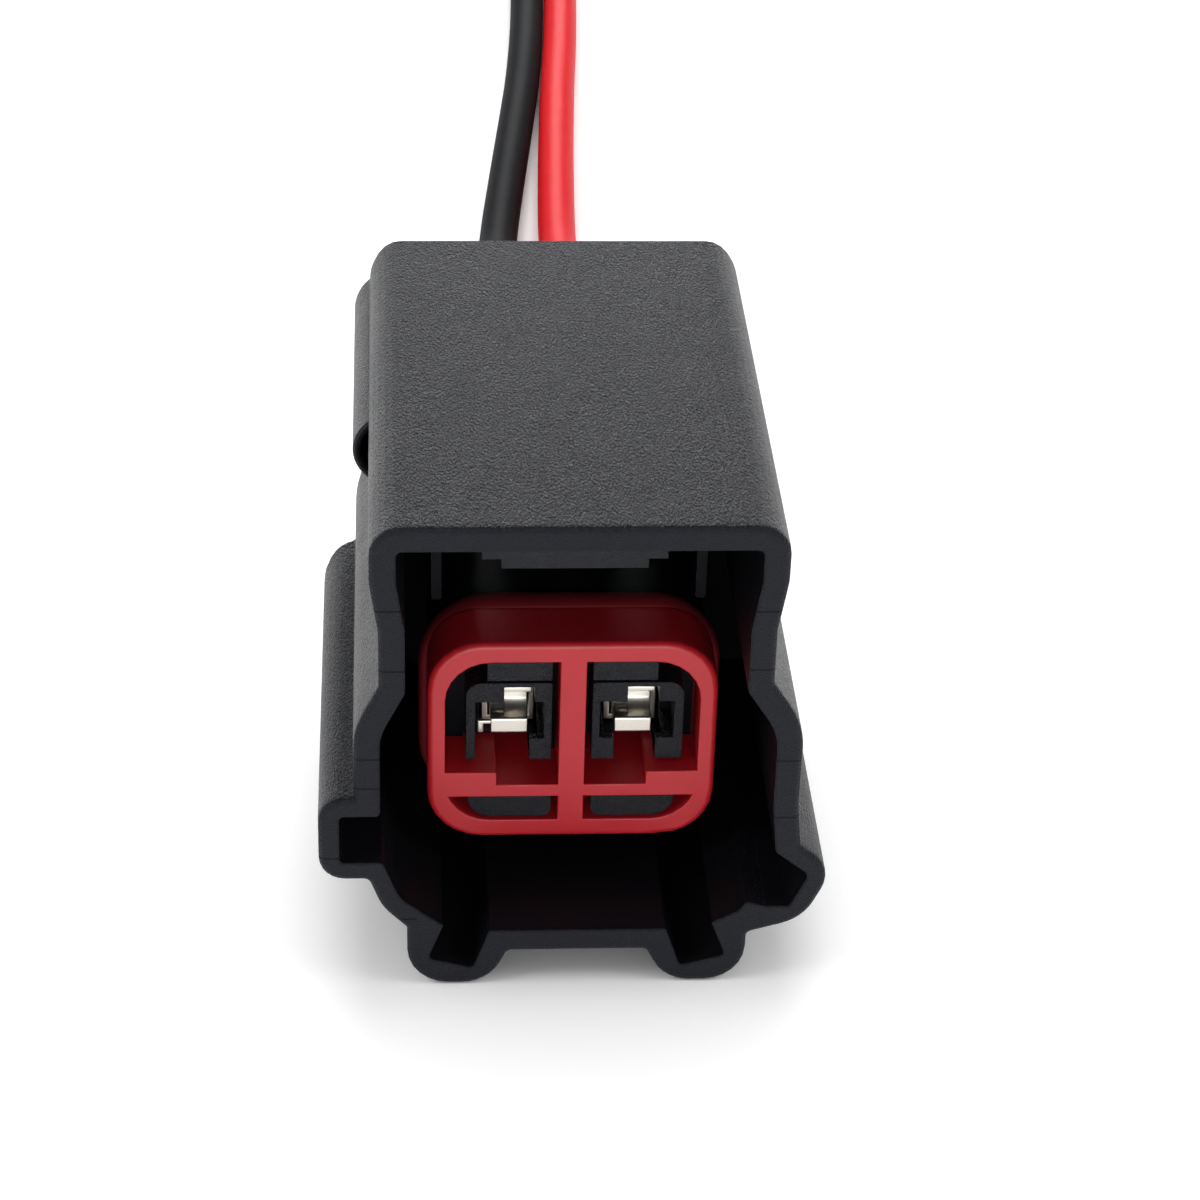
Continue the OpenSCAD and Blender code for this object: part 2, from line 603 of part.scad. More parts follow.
// One finger housing at the front of the tower; side is -1 on the left and 1 on the right
module finger(side) {
    x = way_x + side * pitch / 2;
    left = x - (side < 0 ? finger_out_left : finger_in);
    right = x + (side < 0 ? finger_in : finger_out_right);
    inner = side < 0 ? right : left;
    left_leg = side < 0 ? finger_leg_out : finger_leg_in;
    right_leg = side < 0 ? finger_leg_in : finger_leg_out;
    rear = retainer_rear + lap;
    crown_end = inner + side * crown_w;
    lower_top = blade_z - slide_gap;
    lower_low = opening_low + lower_gap;
    lower_round = min(lower_r, lower_top - lower_low - lap);
    left_r = side < 0 ? finger_r : edge_r;
    right_r = side < 0 ? edge_r : finger_r;
    along(finger_front, rear) difference() {
        polygon(outline([
            [left, finger_high, left_r], [left, finger_low, edge_r],
            [right, finger_low, edge_r], [right, finger_high, right_r]]));
        translate([left + left_leg, finger_low - over])
            square([right - left - left_leg - right_leg, finger_eaves - finger_low + over]);
        translate([x - lip_notch_left, finger_low])
            square([lip_notch_w, finger_eaves + lip_notch_h - finger_low]);
    }
    foot_top = finger_low + finger_foot_h;
    block(inner, inner + side * finger_foot_w, finger_front, rear, finger_low, foot_top);
    if (side > 0) block(right - outer_foot_w, right, finger_front, rear, finger_low, foot_top);
    // Raised block above the finger, set back from it by a shadow line
    crown_top = opening_high - 2 * slide_gap;
    block(inner, crown_end, finger_front + crown_back, rear, finger_high + crown_gap, crown_top);
    block(inner, crown_end, finger_front + crown_gap_depth, rear, finger_high - lap, crown_top);
    // Rounded block below the locking blade
    along(retainer_front + lower_back, rear) polygon(outline([
        [x - lower_w / 2, lower_top, lap / 2],
        [x - lower_w / 2, lower_low, side < 0 ? lower_round : lower_inner_r],
        [x + lower_w / 2, lower_low, side < 0 ? lower_inner_r : lower_round],
        [x + lower_w / 2, lower_top, lap / 2]]));
}

// Tower that carries the terminals, with the shoulder that backs the perimeter seal
module tower() {
    along(retainer_rear + slide_gap, seal_rear) polygon(outline(centred(neck_w, neck_h, opening_r)));
    along(seal_rear, cavity_depth + lap) polygon(outline(centred(
        retainer_w - 2 * shoulder_inset, retainer_h - 2 * shoulder_inset, retainer_r - shoulder_inset)));
    for (side = [-1, 1]) finger(side);
}

// Block behind the bulkhead with the two wire seal bores
module seal_block() {
    h = seal_bore + 2 * seal_block_wall;
    translate([way_shift, 0, 0]) along(cavity_depth, body_len)
        polygon(outline(centred(pitch + h, h, h / 2 - seal_block_flat)));
}

// Terminal cavity with a crimp channel and a wire seal bore
module terminal_cavity(x) {
    half = box_w / 2 + terminal_gap;
    block(x - half, x + half, finger_front + over, box_rear + over, box_floor - terminal_gap,
        box_top + terminal_gap);
    bar(x, tower_z, channel_d, box_rear, seal_seat + over);
    bar(x, tower_z, seal_bore, seal_seat, body_len + over);
}

// Slot in the tower that takes the tip of one side of the locking blade
module blade_slot(side) block(
    tower_x + side * (blade_tip_near - slide_gap), tower_x + side * (blade_tip_far + slide_gap),
    retainer_front, retainer_rear + blade_reach + 2 * slide_gap,
    blade_z - slide_gap, blade_top + blade_step + slide_gap);

// Black moulded housing: shroud, roof, latch, tower and seal block in one piece
module housing() color("#2b2c2f") placed() difference() {
    union() {
        shroud();
        roof();
        clip_tunnel();
        latch();
        guide_fins();
        tower();
        seal_block();
    }
    for (x = cavity_x) terminal_cavity(x);
    for (side = [-1, 1]) blade_slot(side);
}

// Section of the retainer: rim, upright bar and stepped locking blade
module retainer_section() {
    reach = opening_w / 2 + rim_t / 2;
    difference() {
        polygon(outline(centred(retainer_w, retainer_h, retainer_r)));
        polygon(outline(centred(opening_w, opening_h, opening_r)));
    }
    translate([tower_x - divider_w / 2, opening_low - rim_cap_t / 2])
        square([divider_w, opening_h + rim_cap_t]);
    translate([tower_x - reach, blade_z]) square([2 * reach, blade_t]);
    for (left = [-reach, blade_step_x])
        translate([tower_x + left, blade_z]) square([reach - blade_step_x, blade_t + blade_step]);
}

// Red retainer that locks the terminals and holds the perimeter seal
module front_retainer() color("#b3202c") placed() {
    tip = retainer_rear + blade_reach;
    along(retainer_front, retainer_rear) retainer_section();
    for (side = [-1, 1]) {
        block(tower_x + side * blade_tip_near, tower_x + side * blade_step_x, retainer_rear - over, tip,
            blade_z, blade_top);
        block(tower_x + side * blade_step_x, tower_x + side * blade_tip_far, retainer_rear - over, tip,
            blade_z, blade_top + blade_step);
    }
}

// Ring section of the perimeter seal, out to a given height over the retainer
module seal_ring(out) difference() {
    polygon(outline(centred(retainer_w + 2 * out, retainer_h + 2 * out, retainer_r + out)));
    polygon(outline(centred(neck_w, neck_h, opening_r)));
}

// Dark red silicone seal round the tower, with eased lips
module perimeter_seal() color("#7d2229") placed() {
    lip_len = (seal_len - seal_groove * (seal_lips - 1)) / seal_lips;
    ease = lip_len / 5;
    along(retainer_rear, seal_rear) seal_ring(seal_out / 3);
    for (i = [0 : seal_lips - 1]) {
        from = retainer_rear + (lip_len + seal_groove) * i;
        along(from, from + lip_len) seal_ring(seal_out - ease);
        along(from + ease, from + lip_len - ease) seal_ring(seal_out);
    }
}

// Section of the bend that rises from height z to a stem, up to a given angle
function bend(stem, z, angle) = concat([[stem - stem_r, z - lap]],
    [[stem - stem_r * (1 - sin(angle)), z - lap]],
    [for (i = [arc_steps : -1 : 0]) let (t = angle * i / arc_steps)
        [stem - stem_r * (1 - sin(t)), z + stem_r * (1 - cos(t))]]);

// Stamped terminal: contact box with a spring tongue, strand crimp and insulation crimp
module terminal(x, hooked) color("#c9c8c2") placed() translate([x, 0, 0]) {
    half = box_w / 2;
    nose_front = box_front - nose_reach;
    nose_rear = box_front + nose_root;
    nose_low = tower_z - nose_drop;
    nose_top = nose_low + nose_h;
    crest = box_top - 2 * sheet;
    bore_half = half - sheet;
    difference() {
        block(-half, half, box_front, box_rear, box_floor, box_top);
        block(-bore_half, bore_half, box_front - over, box_rear + over, box_floor + sheet, box_top - sheet);
    }
    // Nose of the spring tongue, and the tongue that rises behind it and runs down to the box floor
    across(-nose_w / 2, nose_w / 2) polygon(outline([
        [nose_rear, nose_top, lap / 2], [nose_front, nose_top, edge_r],
        [nose_front, nose_low, edge_r], [nose_rear, nose_low, lap / 2]]));
    // Sheet that bends up from the nose, cut off early on the left and ending in a stem on the right
    stem = nose_front + stem_back;
    lip_low = nose_top + stem_r;
    across(-nose_w / 2, lap - tongue_left) polygon(bend(stem, nose_top, stem_cut));
    across(-tongue_left, nose_w / 2) polygon(bend(stem, nose_top, 90));
    block(-tongue_left, nose_w / 2, stem - lap, stem + sheet, nose_top - lap, lip_low + lap);
    // Lip folded to the front at the top of the stem
    block(-tongue_left, nose_w / 2 + lip_over, stem - lip_reach, stem + sheet, lip_low, lip_low + sheet);
    across(-tongue_left, nose_w / 2) polygon([[box_front, nose_top - 2 * sheet],
        [box_front + tongue_rise, crest - sheet], [box_front + tongue_flat, crest - sheet],
        [box_rear - 4 * sheet, box_floor + sheet - lap], [box_rear - 2 * sheet, box_floor + sheet - lap],
        [box_front + tongue_flat, crest], [box_front + tongue_rise, crest], [box_front, nose_top - sheet]]);
    // Strip that ties the nose to the box floor
    across(-nose_w / 2, nose_w / 2) polygon([
        [box_front, box_floor + sheet - lap], [nose_rear, box_floor + sheet - lap],
        [nose_rear, nose_low + lap], [nose_rear - sheet, nose_low + lap]]);
    if (hooked) {
        tip = -nose_w / 2 - hook_w;
        front = nose_front + lap;
        hook_top = nose_top - hook_t;
        block(tip, lap - nose_w / 2, front, front + sheet, hook_top - hook_t, hook_top);
        block(tip, tip + 1.5 * hook_t, front, front + sheet, nose_low, hook_top);
    }
    // Spine under the crimps, and the two crimp barrels
    difference() {
        union() {
            block(-spine_w / 2, spine_w / 2, box_rear - sheet, grip_rear, box_floor, box_floor + sheet);
            block(-sheet, sheet, core_front, grip_front + lap, box_floor, tower_z);
            bar(0, tower_z, strand_d + 2 * barrel_gap + 2 * sheet, core_front, core_front + core_len);
            bar(0, tower_z, grip_d, grip_front, grip_rear);
        }
        bar(0, tower_z, strand_d + 2 * barrel_gap, core_front - over, lead_front);
        bar(0, tower_z, lead_d + 2 * barrel_gap, lead_front - lap, grip_rear + over);
    }
}

module terminal_left() terminal(cavity_x[0], true);
module terminal_right() terminal(cavity_x[1], false);

// Silicone seal on one lead, with lips that fill its bore
module wire_seal(x) color("#8c2a30") placed()
    translate([x, seal_seat + wire_seal_len, tower_z]) rotate([90, 0, 0]) rotate_extrude() {
        bore = lead_d / 2 + barrel_gap;
        tip = seal_bore / 2 - barrel_gap / 2;
        root = tip - wire_seal_lip_h;
        lip_len = wire_seal_len / (wire_seal_lips + 1);
        translate([bore, 0]) square([root - bore, wire_seal_len]);
        for (i = [0 : wire_seal_lips - 1]) polygon([
            [root - lap, lip_len * i], [tip, lip_len * (i + 0.3)],
            [tip, lip_len * (i + 0.5)], [root - lap, lip_len * (i + 0.8)]]);
    }

module wire_seal_left() wire_seal(cavity_x[0]);
module wire_seal_right() wire_seal(cavity_x[1]);

// Bare strands of a lead inside its crimp
module crimped_strands(x) color("#b87a4b") placed()
    bar(x, tower_z, strand_d, core_front - core_back / 3, lead_front);

module crimped_strands_left() crimped_strands(cavity_x[0]);
module crimped_strands_right() crimped_strands(cavity_x[1]);

// Direction of a route at point i
function heading(route, i) = unit(route[min(i + 1, len(route) - 1)] - route[max(i - 1, 0)]);

// Ring of points round a route at point i
function route_ring(route, i, d) =
    let (f = heading(route, i), s = unit(cross(f, [0, 0, 1])), u = cross(s, f))
    [for (k = [0 : lead_sides - 1]) let (t = (k + 0.5) * 360 / lead_sides)
        route[i] + d / 2 * (s * cos(t) + u * sin(t))];

// Round tube of diameter d swept along a route
module swept(route, d) {
    n = lead_sides;
    last = len(route) - 1;
    polyhedron(
        [for (i = [0 : last]) each route_ring(route, i, d)],
        concat([[for (k = [0 : n - 1]) k]], [[for (k = [n - 1 : -1 : 0]) last * n + k]],
            [for (i = [0 : last - 1], k = [0 : n - 1])
                [i * n + k, (i + 1) * n + k, (i + 1) * n + (k + 1) % n, i * n + (k + 1) % n]]));
}

module lead_black() color("#232427") placed() swept(black_route, lead_d);
module lead_red() color("#e0232a") placed() swept(red_route, lead_d);

// Bare strands past the end of the insulation
module stripped_end(route) placed() {
    end = route[len(route) - 1];
    swept([end, end + heading(route, len(route) - 1) * strip_len], strand_d);
}

module stripped_end_black() color("#c08552") stripped_end(black_route);
module stripped_end_red() color("#c08552") stripped_end(red_route);

housing();
front_retainer();
perimeter_seal();
terminal_left();
terminal_right();
wire_seal_left();
wire_seal_right();
crimped_strands_left();
crimped_strands_right();
lead_black();
lead_red();
stripped_end_black();
stripped_end_red();
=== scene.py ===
"""Looks of a two-way sealed pigtail connector: eased mouldings, seals, leads, finishes, studio and camera.

Lengths are millimetres, and MM turns them to metres. Depths run from the front lip to the rear, as on the
drawing of the part, and to_frame() turns a point given that way to the shared frame: the mating face looks
towards -Y, the leads leave towards +Y and the feet stand on Z = 0.
"""

import json
import logging
import math
from dataclasses import dataclass, field
from enum import Enum
from typing import Any

import bmesh
import bpy
from mathutils import Matrix, Vector
from mathutils.bvhtree import BVHTree

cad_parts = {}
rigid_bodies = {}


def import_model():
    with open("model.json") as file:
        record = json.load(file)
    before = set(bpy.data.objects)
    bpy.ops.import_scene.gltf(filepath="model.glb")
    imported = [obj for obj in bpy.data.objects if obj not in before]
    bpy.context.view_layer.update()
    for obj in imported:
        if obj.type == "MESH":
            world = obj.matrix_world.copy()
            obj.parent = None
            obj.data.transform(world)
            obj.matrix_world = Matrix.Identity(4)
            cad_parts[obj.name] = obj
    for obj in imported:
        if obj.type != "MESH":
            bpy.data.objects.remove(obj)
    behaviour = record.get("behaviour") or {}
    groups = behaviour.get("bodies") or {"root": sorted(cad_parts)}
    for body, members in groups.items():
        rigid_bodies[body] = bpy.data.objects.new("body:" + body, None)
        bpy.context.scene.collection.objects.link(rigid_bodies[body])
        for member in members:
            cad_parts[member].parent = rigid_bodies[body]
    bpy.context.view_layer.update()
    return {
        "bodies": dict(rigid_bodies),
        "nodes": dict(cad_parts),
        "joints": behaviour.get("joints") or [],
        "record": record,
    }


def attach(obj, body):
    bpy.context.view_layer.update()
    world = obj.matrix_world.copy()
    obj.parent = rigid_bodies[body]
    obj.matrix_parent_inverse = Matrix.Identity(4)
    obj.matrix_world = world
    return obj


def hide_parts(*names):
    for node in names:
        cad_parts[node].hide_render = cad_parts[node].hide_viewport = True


Point = tuple[float, float, float]
Range = tuple[float, float]
Colour = tuple[float, float, float, float]

MM = 0.001
BODY = "root"
HALF_DEPTH = 17.0
WHOLE: Range = (0.0, 1.0)
PAINTED_SHADE_INSIDE = "core_side"
LOG = logging.getLogger("pigtail_connector")


class Way(Enum):
    """The two ways of the connector, seen from the mating face, with the X of each terminal's axis."""

    LEFT = -2.855
    RIGHT = 3.195

    @property
    def word(self) -> str:
        """The way's name as the part's nodes spell it."""
        return self.name.lower()


def at_depth(depth: float) -> float:
    """Turns a depth behind the lip, in millimetres, to Y in the shared frame, in metres."""
    return (depth - HALF_DEPTH) * MM


def to_frame(point: Point) -> Vector:
    """Turns a point from depths behind the lip, in millimetres, to the shared frame, in metres."""
    return Vector((point[0], point[1] - HALF_DEPTH, point[2])) * MM


def linear(hex_colour: str) -> Colour:
    """Turns an sRGB hex colour to the linear values that a shader takes.

    Args:
        hex_colour: A colour such as "#2b2c2f".

    Returns:
        Linear red, green and blue, and an alpha of 1.
    """
    channels = [int(hex_colour[i : i + 2], 16) / 255 for i in (1, 3, 5)]
    red, green, blue = (c / 12.92 if c <= 0.04045 else ((c + 0.055) / 1.055) ** 2.4 for c in channels)
    return red, green, blue, 1.0


def per_metre(size: float) -> float:
    """Texture scale at which one cell of a pattern is size millimetres across."""
    return 1 / (size * MM)


def cleared(owner: bpy.types.Material | bpy.types.World) -> bpy.types.NodeTree:
    """Gives a material or a world an empty node tree."""
    owner.use_nodes = True
    owner.node_tree.nodes.clear()
    return owner.node_tree


def add_node(
    tree: bpy.types.NodeTree, kind: str, inputs: dict[Any, Any] | None = None, **settings: Any
) -> Any:
    """Adds one node to a tree, with its settings, its constants and its links.

    Args:
        tree: The shader or geometry tree.
        kind: The node's type.
        inputs: For each input, by name or number: a constant, a socket, a node whose first output is
            taken, or a list of those.
        **settings: Properties of the node.

    Returns:
        The new node.
    """
    node = tree.nodes.new(kind)
    for key, value in settings.items():
        setattr(node, key, value)
    for key, value in (inputs or {}).items():
        for source in value if isinstance(value, list) else [value]:
            if isinstance(source, bpy.types.Node):
                source = source.outputs[0]
            if isinstance(source, bpy.types.NodeSocket):
                tree.links.new(source, node.inputs[key])
            else:
                node.inputs[key].default_value = source
    return node


def calculate(tree: bpy.types.NodeTree, operation: str, *values: Any, clamp: bool = False) -> bpy.types.Node:
    """Adds a Math node, with a constant, a socket or a node as the value of each of its inputs."""
    inputs = dict(enumerate(values))
    return add_node(tree, "ShaderNodeMath", inputs, operation=operation, use_clamp=clamp)


def remap(tree: bpy.types.NodeTree, value: Any, source: Range, target: Range) -> bpy.types.Node:
    """Adds a node that turns one range of a value, from a socket or node, to another and goes no further."""
    ends = {"From Min": source[0], "From Max": source[1], "To Min": target[0], "To Max": target[1]}
    return add_node(tree, "ShaderNodeMapRange", ends | {"Value": value})


def blend(tree: bpy.types.NodeTree, share: Any, first: Any, second: str) -> bpy.types.NodeSocket:
    """Adds a mix of a hex colour, or a socket's colour, with a share of a second and gives its result."""
    start = linear(first) if isinstance(first, str) else first
    mix = add_node(tree, "ShaderNodeMix", {0: share, 6: start, 7: linear(second)}, data_type="RGBA")
    return mix.outputs[2]


def noise(tree: bpy.types.NodeTree, place: Any, cell: float, detail: float, **more: float) -> bpy.types.Node:
    """Adds a noise pattern with cells of one size in millimetres, looked up at a place on the part."""
    inputs = {"Vector": place, "Scale": per_metre(cell), "Detail": detail}
    return add_node(tree, "ShaderNodeTexNoise", inputs | more)


def drawn_noise(
    tree: bpy.types.NodeTree, place: Any, cell: float, length: float, detail: float, twist: float = 0.0
) -> bpy.types.Node:
    """Adds a noise pattern that is drawn out along the depth.

    Args:
        tree: The shader tree.
        place: The socket that gives the place on the part.
        cell: The size of its cells in millimetres.
        length: Their length along the depth.
        detail: How many finer layers it has.
        twist: How far it is distorted.

    Returns:
        The new node.
    """
    across, along = per_metre(cell), per_metre(length)
    drawn = add_node(tree, "ShaderNodeMapping", {"Vector": place, "Scale": (across, along, across)})
    inputs = {"Vector": drawn, "Scale": 1.0, "Detail": detail, "Distortion": twist}
    return add_node(tree, "ShaderNodeTexNoise", inputs)


def seen_directly(tree: bpy.types.NodeTree) -> bpy.types.Node:
    """Adds a mask that is 1 for rays from the camera, or from a mirror or glass, and 0 for light."""
    rays = add_node(tree, "ShaderNodeLightPath").outputs
    either = calculate(tree, "MAXIMUM", rays["Is Glossy Ray"], rays["Is Transmission Ray"])
    return calculate(tree, "MAXIMUM", rays["Is Camera Ray"], either)


@dataclass(frozen=True)
class Finish:
    """What a surface is made of. The classes below give the pattern that each material shows."""

    name: str
    colour: str
    roughness: float
    ior: float = 1.5
    specular: float = 0.5
    metallic: float = 0.0

    def material(self) -> bpy.types.Material:
        """Builds the material: one Principled shader under the finish's own pattern."""
        material = bpy.data.materials.new(self.name)
        tree = cleared(material)
        place = add_node(tree, "ShaderNodeTexCoord")
        plain = {
            "Base Color": linear(self.colour),
            "Roughness": self.roughness,
            "IOR": self.ior,
            "Specular IOR Level": self.specular,
            "Metallic": self.metallic,
        }
        shader = add_node(tree, "ShaderNodeBsdfPrincipled", plain | self.pattern(tree, place))
        add_node(tree, "ShaderNodeOutputMaterial", {"Surface": shader})
        return material

    def pattern(self, tree: bpy.types.NodeTree, place: bpy.types.Node) -> dict[str, Any]:
        """Adds the nodes of the finish's pattern.

        Args:
            tree: The material's tree.
            place: Its Texture Coordinate node.

        Returns:
            The shader inputs that vary over the surface.
        """
        return {}

    def roughness_over(
        self, tree: bpy.types.NodeTree, value: Any, smoother: float, rougher: float
    ) -> bpy.types.Node:
        """Adds a roughness that follows a pattern, from smoother to rougher than the finish's own."""
        return remap(tree, value, WHOLE, (self.roughness - smoother, self.roughness + rougher))


@dataclass(frozen=True)
class WitnessMark:
    """Hairline where two mould inserts met across the lip, by its middle and half its length."""

    x: float
    z: float
    reach: float = 0.75


@dataclass(frozen=True)
class ErodedPolyamide(Finish):
    """Glass-filled black PA66 from a spark-eroded mould.

    The eye gets a satin, near-black skin with a fine worm-like grain outside, a smoother lip, hairlines
    across the lip where the mould's inserts met, and a smooth inside from the polished inner half of the
    mould, painted darker and duller there as shade.
    The front range holds the forward lean of the faces on which the grain fades.
    """

    grain: float = 0.075
    grain_along: float = 0.2
    grain_depth: float = 0.22
    grain_twist: float = 0.4
    front: Range = (-0.8, -0.3)
    lip_grain: float = 0.3
    lip_sheen: float = 0.58
    lip_depth: float = 0.6
    mottle: float = 3.0
    mottled_colour: str = "#131419"
    uneven: float = 0.06
    mark_width: float = 0.07
    mark_depth: float = 0.5
    mark_and_shade_colour: str = "#15161a"
    mark_and_shade_specular: float = 0.05
    marks: tuple[WitnessMark, ...] = ()

    def pattern(self, tree: bpy.types.NodeTree, place: bpy.types.Node) -> dict[str, Any]:
        """Adds grain that fades on front faces and ends inside, slow mottling, the witness marks and painted
        shade inside the shroud.
        """
        objects = place.outputs["Object"]
        grain = drawn_noise(tree, objects, self.grain, self.grain_along, 1.0, self.grain_twist)
        facing = add_node(tree, "ShaderNodeSeparateXYZ", {0: place.outputs["Normal"]})
        outside = remap(tree, facing.outputs["Y"], self.front, (self.lip_grain, 1.0))
        spot = add_node(tree, "ShaderNodeSeparateXYZ", {0: objects})
        lip = at_depth(self.lip_depth / 2), at_depth(self.lip_depth)
        polish = remap(tree, spot.outputs["Y"], lip, (self.lip_sheen, 1.0))
        # Faces inside the shroud lose their grain and get painted shade: a darker colour and a lower sheen
        inside_shade = add_node(tree, "ShaderNodeAttribute", attribute_name=PAINTED_SHADE_INSIDE).outputs["Fac"]
        eroded = calculate(tree, "SUBTRACT", outside, inside_shade, clamp=True)
        relief = calculate(tree, "MULTIPLY", grain, eroded)
        marks = self.witness(tree, spot)
        cut = calculate(tree, "SUBTRACT", relief, marks)
        cloud = noise(tree, objects, self.mottle, 4.0)
        skin = blend(tree, cloud, self.mottled_colour, self.colour)
        # The witness marks and the painted shade inside share the darker colour and the lower sheen
        dark = calculate(tree, "MAXIMUM", marks, inside_shade)
        sheen = remap(tree, dark, WHOLE, (self.specular, self.mark_and_shade_specular))
        shine = calculate(tree, "MULTIPLY", sheen, polish)
        return {
            "Base Color": blend(tree, dark, skin, self.mark_and_shade_colour),
            "Roughness": self.roughness_over(tree, cloud, self.uneven, self.uneven),
            # The constant stays on the socket under the link, for software that can't follow the link
            "Specular IOR Level": [self.specular, shine],
            "Normal": add_node(tree, "ShaderNodeBump", {"Height": cut, "Distance": self.grain_depth * MM}),
        }

    def witness(self, tree: bpy.types.NodeTree, place: bpy.types.Node) -> bpy.types.Node:
        """Adds a mask that is 1 on the witness marks of the lip and 0 elsewhere.

        Args:
            tree: The material's tree.
            place: The node whose X, Y and Z outputs give the place on the part.

        Returns:
            The mask's last node.
        """
        mask: Any = 0.0
        for mark in self.marks:
            beside = calculate(tree, "COMPARE", place.outputs["X"], mark.x * MM, mark.reach * MM)
            level = calculate(tree, "COMPARE", place.outputs["Z"], mark.z * MM, self.mark_width / 2 * MM)
            both = calculate(tree, "MULTIPLY", beside, level)
            mask = calculate(tree, "MAXIMUM", mask, both)
        front = calculate(tree, "LESS_THAN", place.outputs["Y"], at_depth(self.mark_depth))
        return calculate(tree, "MULTIPLY", mask, front)


@dataclass(frozen=True)
class MouldedPolyester(Finish):
    """Unfilled red PBT from a polished mould.

    The eye gets a clean, semi-gloss red with a faint orange peel and slightly clouded pigment.
    """

    peel: float = 0.45
    peel_depth: float = 0.004
    cloud: float = 2.2
    clouded_colour: str = "#c41d28"
    uneven: float = 0.05

    def pattern(self, tree: bpy.types.NodeTree, place: bpy.types.Node) -> dict[str, Any]:
        """Adds the orange peel and the clouded pigment."""
        objects = place.outputs["Object"]
        peel = noise(tree, objects, self.peel, 3.0)
        cloud = noise(tree, objects, self.cloud, 3.0)
        return {
            "Base Color": blend(tree, cloud, self.clouded_colour, self.colour),
            "Roughness": self.roughness_over(tree, peel, self.uneven, self.uneven),
            "Normal": add_node(tree, "ShaderNodeBump", {"Height": peel, "Distance": self.peel_depth * MM}),
        }


@dataclass(frozen=True)
class SiliconeRubber(Finish):
    """Oil-bled silicone rubber, as seals are moulded from.

    The eye gets a soft, matt dark red, a little paler where dust clings to it. The specks range holds the
    part of the dust's pattern that shows.
    """

    dust: float = 0.12
    dust_roughness: float = 0.7
    specks: Range = (0.55, 0.8)
    dusty_colour: str = "#8a2a30"
    bloom: float = 0.006

    def pattern(self, tree: bpy.types.NodeTree, place: bpy.types.Node) -> dict[str, Any]:
        """Adds clinging dust and the soft skin under it."""
        dust = noise(tree, place.outputs["Object"], self.dust, 4.0, Roughness=self.dust_roughness)
        speck = remap(tree, dust, self.specks, WHOLE)
        return {
            "Base Color": blend(tree, speck, self.colour, self.dusty_colour),
            "Normal": add_node(tree, "ShaderNodeBump", {"Height": dust, "Distance": self.bloom * MM}),
        }


@dataclass(frozen=True)
class TinnedBrass(Finish):
    """Stamped brass strip with bright tin plate.

    The eye gets a pale, slightly warm metal, drawn out in fine rolling streaks along the strip.
    """

    streak: float = 0.05
    streak_length: float = 2.5
    dull_colour: str = "#cfc9bd"
    smoother: float = 0.06
    rougher: float = 0.08

    def pattern(self, tree: bpy.types.NodeTree, place: bpy.types.Node) -> dict[str, Any]:
        """Adds the rolling streaks, which run with the depth."""
        streaks = drawn_noise(tree, place.outputs["Object"], self.streak, self.streak_length, 3.0)
        return {
            "Base Color": blend(tree, streaks, self.dull_colour, self.colour),
            "Roughness": self.roughness_over(tree, streaks, self.smoother, self.rougher),
        }


@dataclass(frozen=True)
class ExtrudedVinyl(Finish):
    """PVC insulation, extruded over the strands.

    The eye gets a smooth, semi-gloss skin with long, shallow die lines and a little waviness.
    """

    die_line: float = 0.3
    die_length: float = 14.0
    wave: float = 2.0
    relief: float = 0.012
    deep_colour: str = "#101113"

    def pattern(self, tree: bpy.types.NodeTree, place: bpy.types.Node) -> dict[str, Any]:
        """Adds die lines along the lead and slow waves of colour."""
        objects = place.outputs["Object"]
        lines = drawn_noise(tree, objects, self.die_line, self.die_length, 2.0)
        waves = noise(tree, objects, self.wave, 2.0)
        return {
            "Base Color": blend(tree, waves, self.deep_colour, self.colour),
            "Normal": add_node(tree, "ShaderNodeBump", {"Height": lines, "Distance": self.relief * MM}),
        }


@dataclass(frozen=True)
class DrawnCopper(Finish):
    """Bare drawn copper wire.

    The eye gets a warm, bright metal with darker patches where it has begun to tarnish.
    """

    patch: float = 0.5
    tarnished_colour: str = "#8f5a36"

    def pattern(self, tree: bpy.types.NodeTree, place: bpy.types.Node) -> dict[str, Any]:
        """Adds the tarnished patches."""
        patches = noise(tree, place.outputs["Object"], self.patch, 3.0)
        return {"Base Color": blend(tree, patches, self.tarnished_colour, self.colour)}


@dataclass(frozen=True)
class PaperSweep:
    """White studio paper, which burns out to white in the picture and keeps the part's shadow: the lamps'
    real one, and a painted one where its glow dims near the part.
    """

    name: str
    glow: float
    near: float = 150.0
    far: float = 600.0
    shade_reach: float = 16.0
    colour: str = "#fcfcfc"

    def material(self) -> bpy.types.Material:
        """Builds matt paper with a glow that only the camera, mirrors and glass see.

        Returns:
            The material, whose glow fades close to the part and makes up for the lamps far from it, and
            which dims further where the part hides the open air, as a painted shadow.
        """
        material = bpy.data.materials.new(self.name)
        tree = cleared(material)
        # The glow dims where the part hides the open air: a painted shadow on the paper, beside the lamps'
        # real one
        shade = {"Distance": self.shade_reach * MM}
        painted_shadow_share = add_node(tree, "ShaderNodeAmbientOcclusion", shade).outputs["AO"]
        place = add_node(tree, "ShaderNodeTexCoord").outputs["Object"]
        away = add_node(tree, "ShaderNodeVectorMath", {0: place}, operation="LENGTH").outputs["Value"]
        spread = remap(tree, away, (self.near * MM, self.far * MM), (self.glow, 1.0))
        full = calculate(tree, "MULTIPLY", seen_directly(tree), spread)
        strength = calculate(tree, "MULTIPLY", full, painted_shadow_share)
        paper = add_node(tree, "ShaderNodeBsdfDiffuse", {"Color": linear(self.colour)})
        glow = add_node(tree, "ShaderNodeEmission", {"Strength": strength})
        both = add_node(tree, "ShaderNodeAddShader", {0: paper, 1: glow})
        add_node(tree, "ShaderNodeOutputMaterial", {"Surface": both})
        return material


def put_in_scene(name: str, data: bpy.types.ID) -> bpy.types.Object:
    """Makes an object of some data and links it to the scene."""
    thing = bpy.data.objects.new(name, data)
    bpy.context.scene.collection.objects.link(thing)
    return thing


